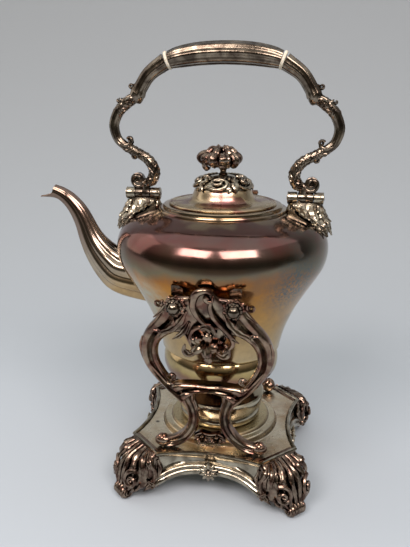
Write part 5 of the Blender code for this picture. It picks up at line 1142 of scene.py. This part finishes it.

# %% [markdown]
# The object stands on a pale grey sheet that curves up behind it, as in a small photo studio. In front of
# the object the sheet is painted dark, as painted shade of the room, which gives the polished bowl its dark band.
# %% Backdrop
def backdrop():
    """One sheet: level floor, a wide bend, and a wall."""
    radius, start = 1.1, 0.3
    arc = [(start + radius * math.sin(a), radius - radius * math.cos(a)) for a in np.linspace(0, math.pi / 2, 40)]
    bend = [(-4.0, 0.0), (-0.4, 0.0)] + arc + [(start + radius, 2.6)]
    mesh = bpy.data.meshes.new("paper_sweep")
    count = len(bend)
    points = [(x, y, z) for x in (-7.0, 7.0) for y, z in bend]
    faces = [(i, i + 1, count + i + 1, count + i) for i in range(count - 1)]
    mesh.from_pydata(points, [], faces)
    mesh.shade_smooth()
    made = bpy.data.objects.new("paper_sweep", mesh)
    bpy.context.scene.collection.objects.link(made)
    return made


# Matt background paper, pale cool grey: no sheen, with painted shade that makes it darker up the wall and toward the
# room.
PAPER, tree, shader = blank("matt_background_paper")
spot = node(tree, "ShaderNodeTexCoord").outputs["Object"]
depth = node(tree, "ShaderNodeSeparateXYZ", {"Vector": spot}).outputs["Y"]
# Painted shade: the sheet goes near black toward the room in front, and a little darker toward the wall.
tree.links.new(ramp(tree, spread(tree, depth, -1.1, 1.4, 0.0, 1.0),
                    [(0.0, "5a5b55"), (0.13, "66676a"), (0.26, "bac5cd"), (1.0, "a4aaad")]),
               shader.inputs["Base Color"])
shader.inputs["Roughness"].default_value = 0.9
sweep_sheet = backdrop()
sweep_sheet.data.materials.append(PAPER)
print("backdrop points:", len(sweep_sheet.data.vertices))

# %% [markdown]
# Two soft windows stand high in front, a weak one at the left, and a pale ceiling hangs over all. Polished
# metal mostly mirrors its surroundings, so the room itself matters: it is dim in front, below the windows,
# and pale behind and above.
# %% Lights
def soft_light(name, at, aim, wide, high, power, tint):
    light = bpy.data.lights.new(name, "AREA")
    light.shape = "RECTANGLE"
    light.size, light.size_y = wide, high
    light.energy = power
    light.color = colour(tint)[:3]
    made = bpy.data.objects.new(name, light)
    made.location = at
    made.rotation_euler = (Vector(aim) - Vector(at)).to_track_quat("-Z", "Y").to_euler()
    bpy.context.scene.collection.objects.link(made)
    return made


TARGET = (AXIS, 0.0, 0.18)
soft_light("window_left", (-0.66, -1.45, 1.62), TARGET, 1.05, 0.66, 26, "fff3f0")
soft_light("window_right", (0.80, -1.42, 1.66), TARGET, 1.25, 0.70, 31, "fff3f0")
soft_light("window_side", (-2.4, 0.7, 1.3), TARGET, 2.2, 2.2, 12, "fff6ee")
soft_light("ceiling", (0.1, 0.6, 2.6), TARGET, 5.0, 4.2, 26, "f6f9ff")

world = bpy.data.worlds.new("soft_room")
bpy.context.scene.world = world
world.use_nodes = True
tree = world.node_tree
sky = tree.nodes["Background"]
spot = node(tree, "ShaderNodeTexCoord").outputs["Generated"]
parts = node(tree, "ShaderNodeSeparateXYZ", {"Vector": spot}).outputs
rise = ramp(tree, spread(tree, parts["Z"], -0.3, 1.0, 0.0, 1.0),
            [(0.0, "50524a"), (0.20, "484a42"), (0.31, "4b4a44"), (0.42, "5e5850"), (0.56, "8d857d"), (0.72, "b2aca6"),
             (1.0, "c6c3be")])
behind = spread(tree, parts["Y"], -0.10, 0.25, 0.0, 1.0)
tree.links.new(blend(tree, behind, rise, colour("b0b3b5")), sky.inputs["Color"])
sky.inputs["Strength"].default_value = 1.0
print("lights:", len(bpy.data.lights))

# %% [markdown]
# The camera was found from the photograph: it stands about half a metre away, a little above the lid,
# and looks down by seventeen degrees.
# %% Camera
CAMERA_AT = Vector((73.32, -534.50, 357.69)) * MM + Vector((AXIS, 0, 0))
YAW, PITCH, ROLL_ANGLE = (math.radians(a) for a in (-9.478, 16.978, 0.253))
forward = Vector((math.sin(YAW) * math.cos(PITCH), math.cos(YAW) * math.cos(PITCH), -math.sin(PITCH)))
level = forward.cross(Vector((0, 0, 1))).normalized()
up = level.cross(forward)
right = level * math.cos(ROLL_ANGLE) + up * math.sin(ROLL_ANGLE)
up = up * math.cos(ROLL_ANGLE) - level * math.sin(ROLL_ANGLE)
lens = bpy.data.cameras.new("camera")
lens.sensor_fit = "VERTICAL"
lens.sensor_height = 24
lens.lens = 26.67
lens.clip_start = 0.01
camera = bpy.data.objects.new("camera", lens)
turned_frame = Matrix((right, up, -forward)).transposed().to_4x4()
camera.matrix_world = Matrix.Translation(CAMERA_AT) @ turned_frame
bpy.context.scene.collection.objects.link(camera)
bpy.context.scene.camera = camera
bpy.context.scene.view_settings.view_transform = "Standard"
print("camera at", [round(v, 4) for v in CAMERA_AT])
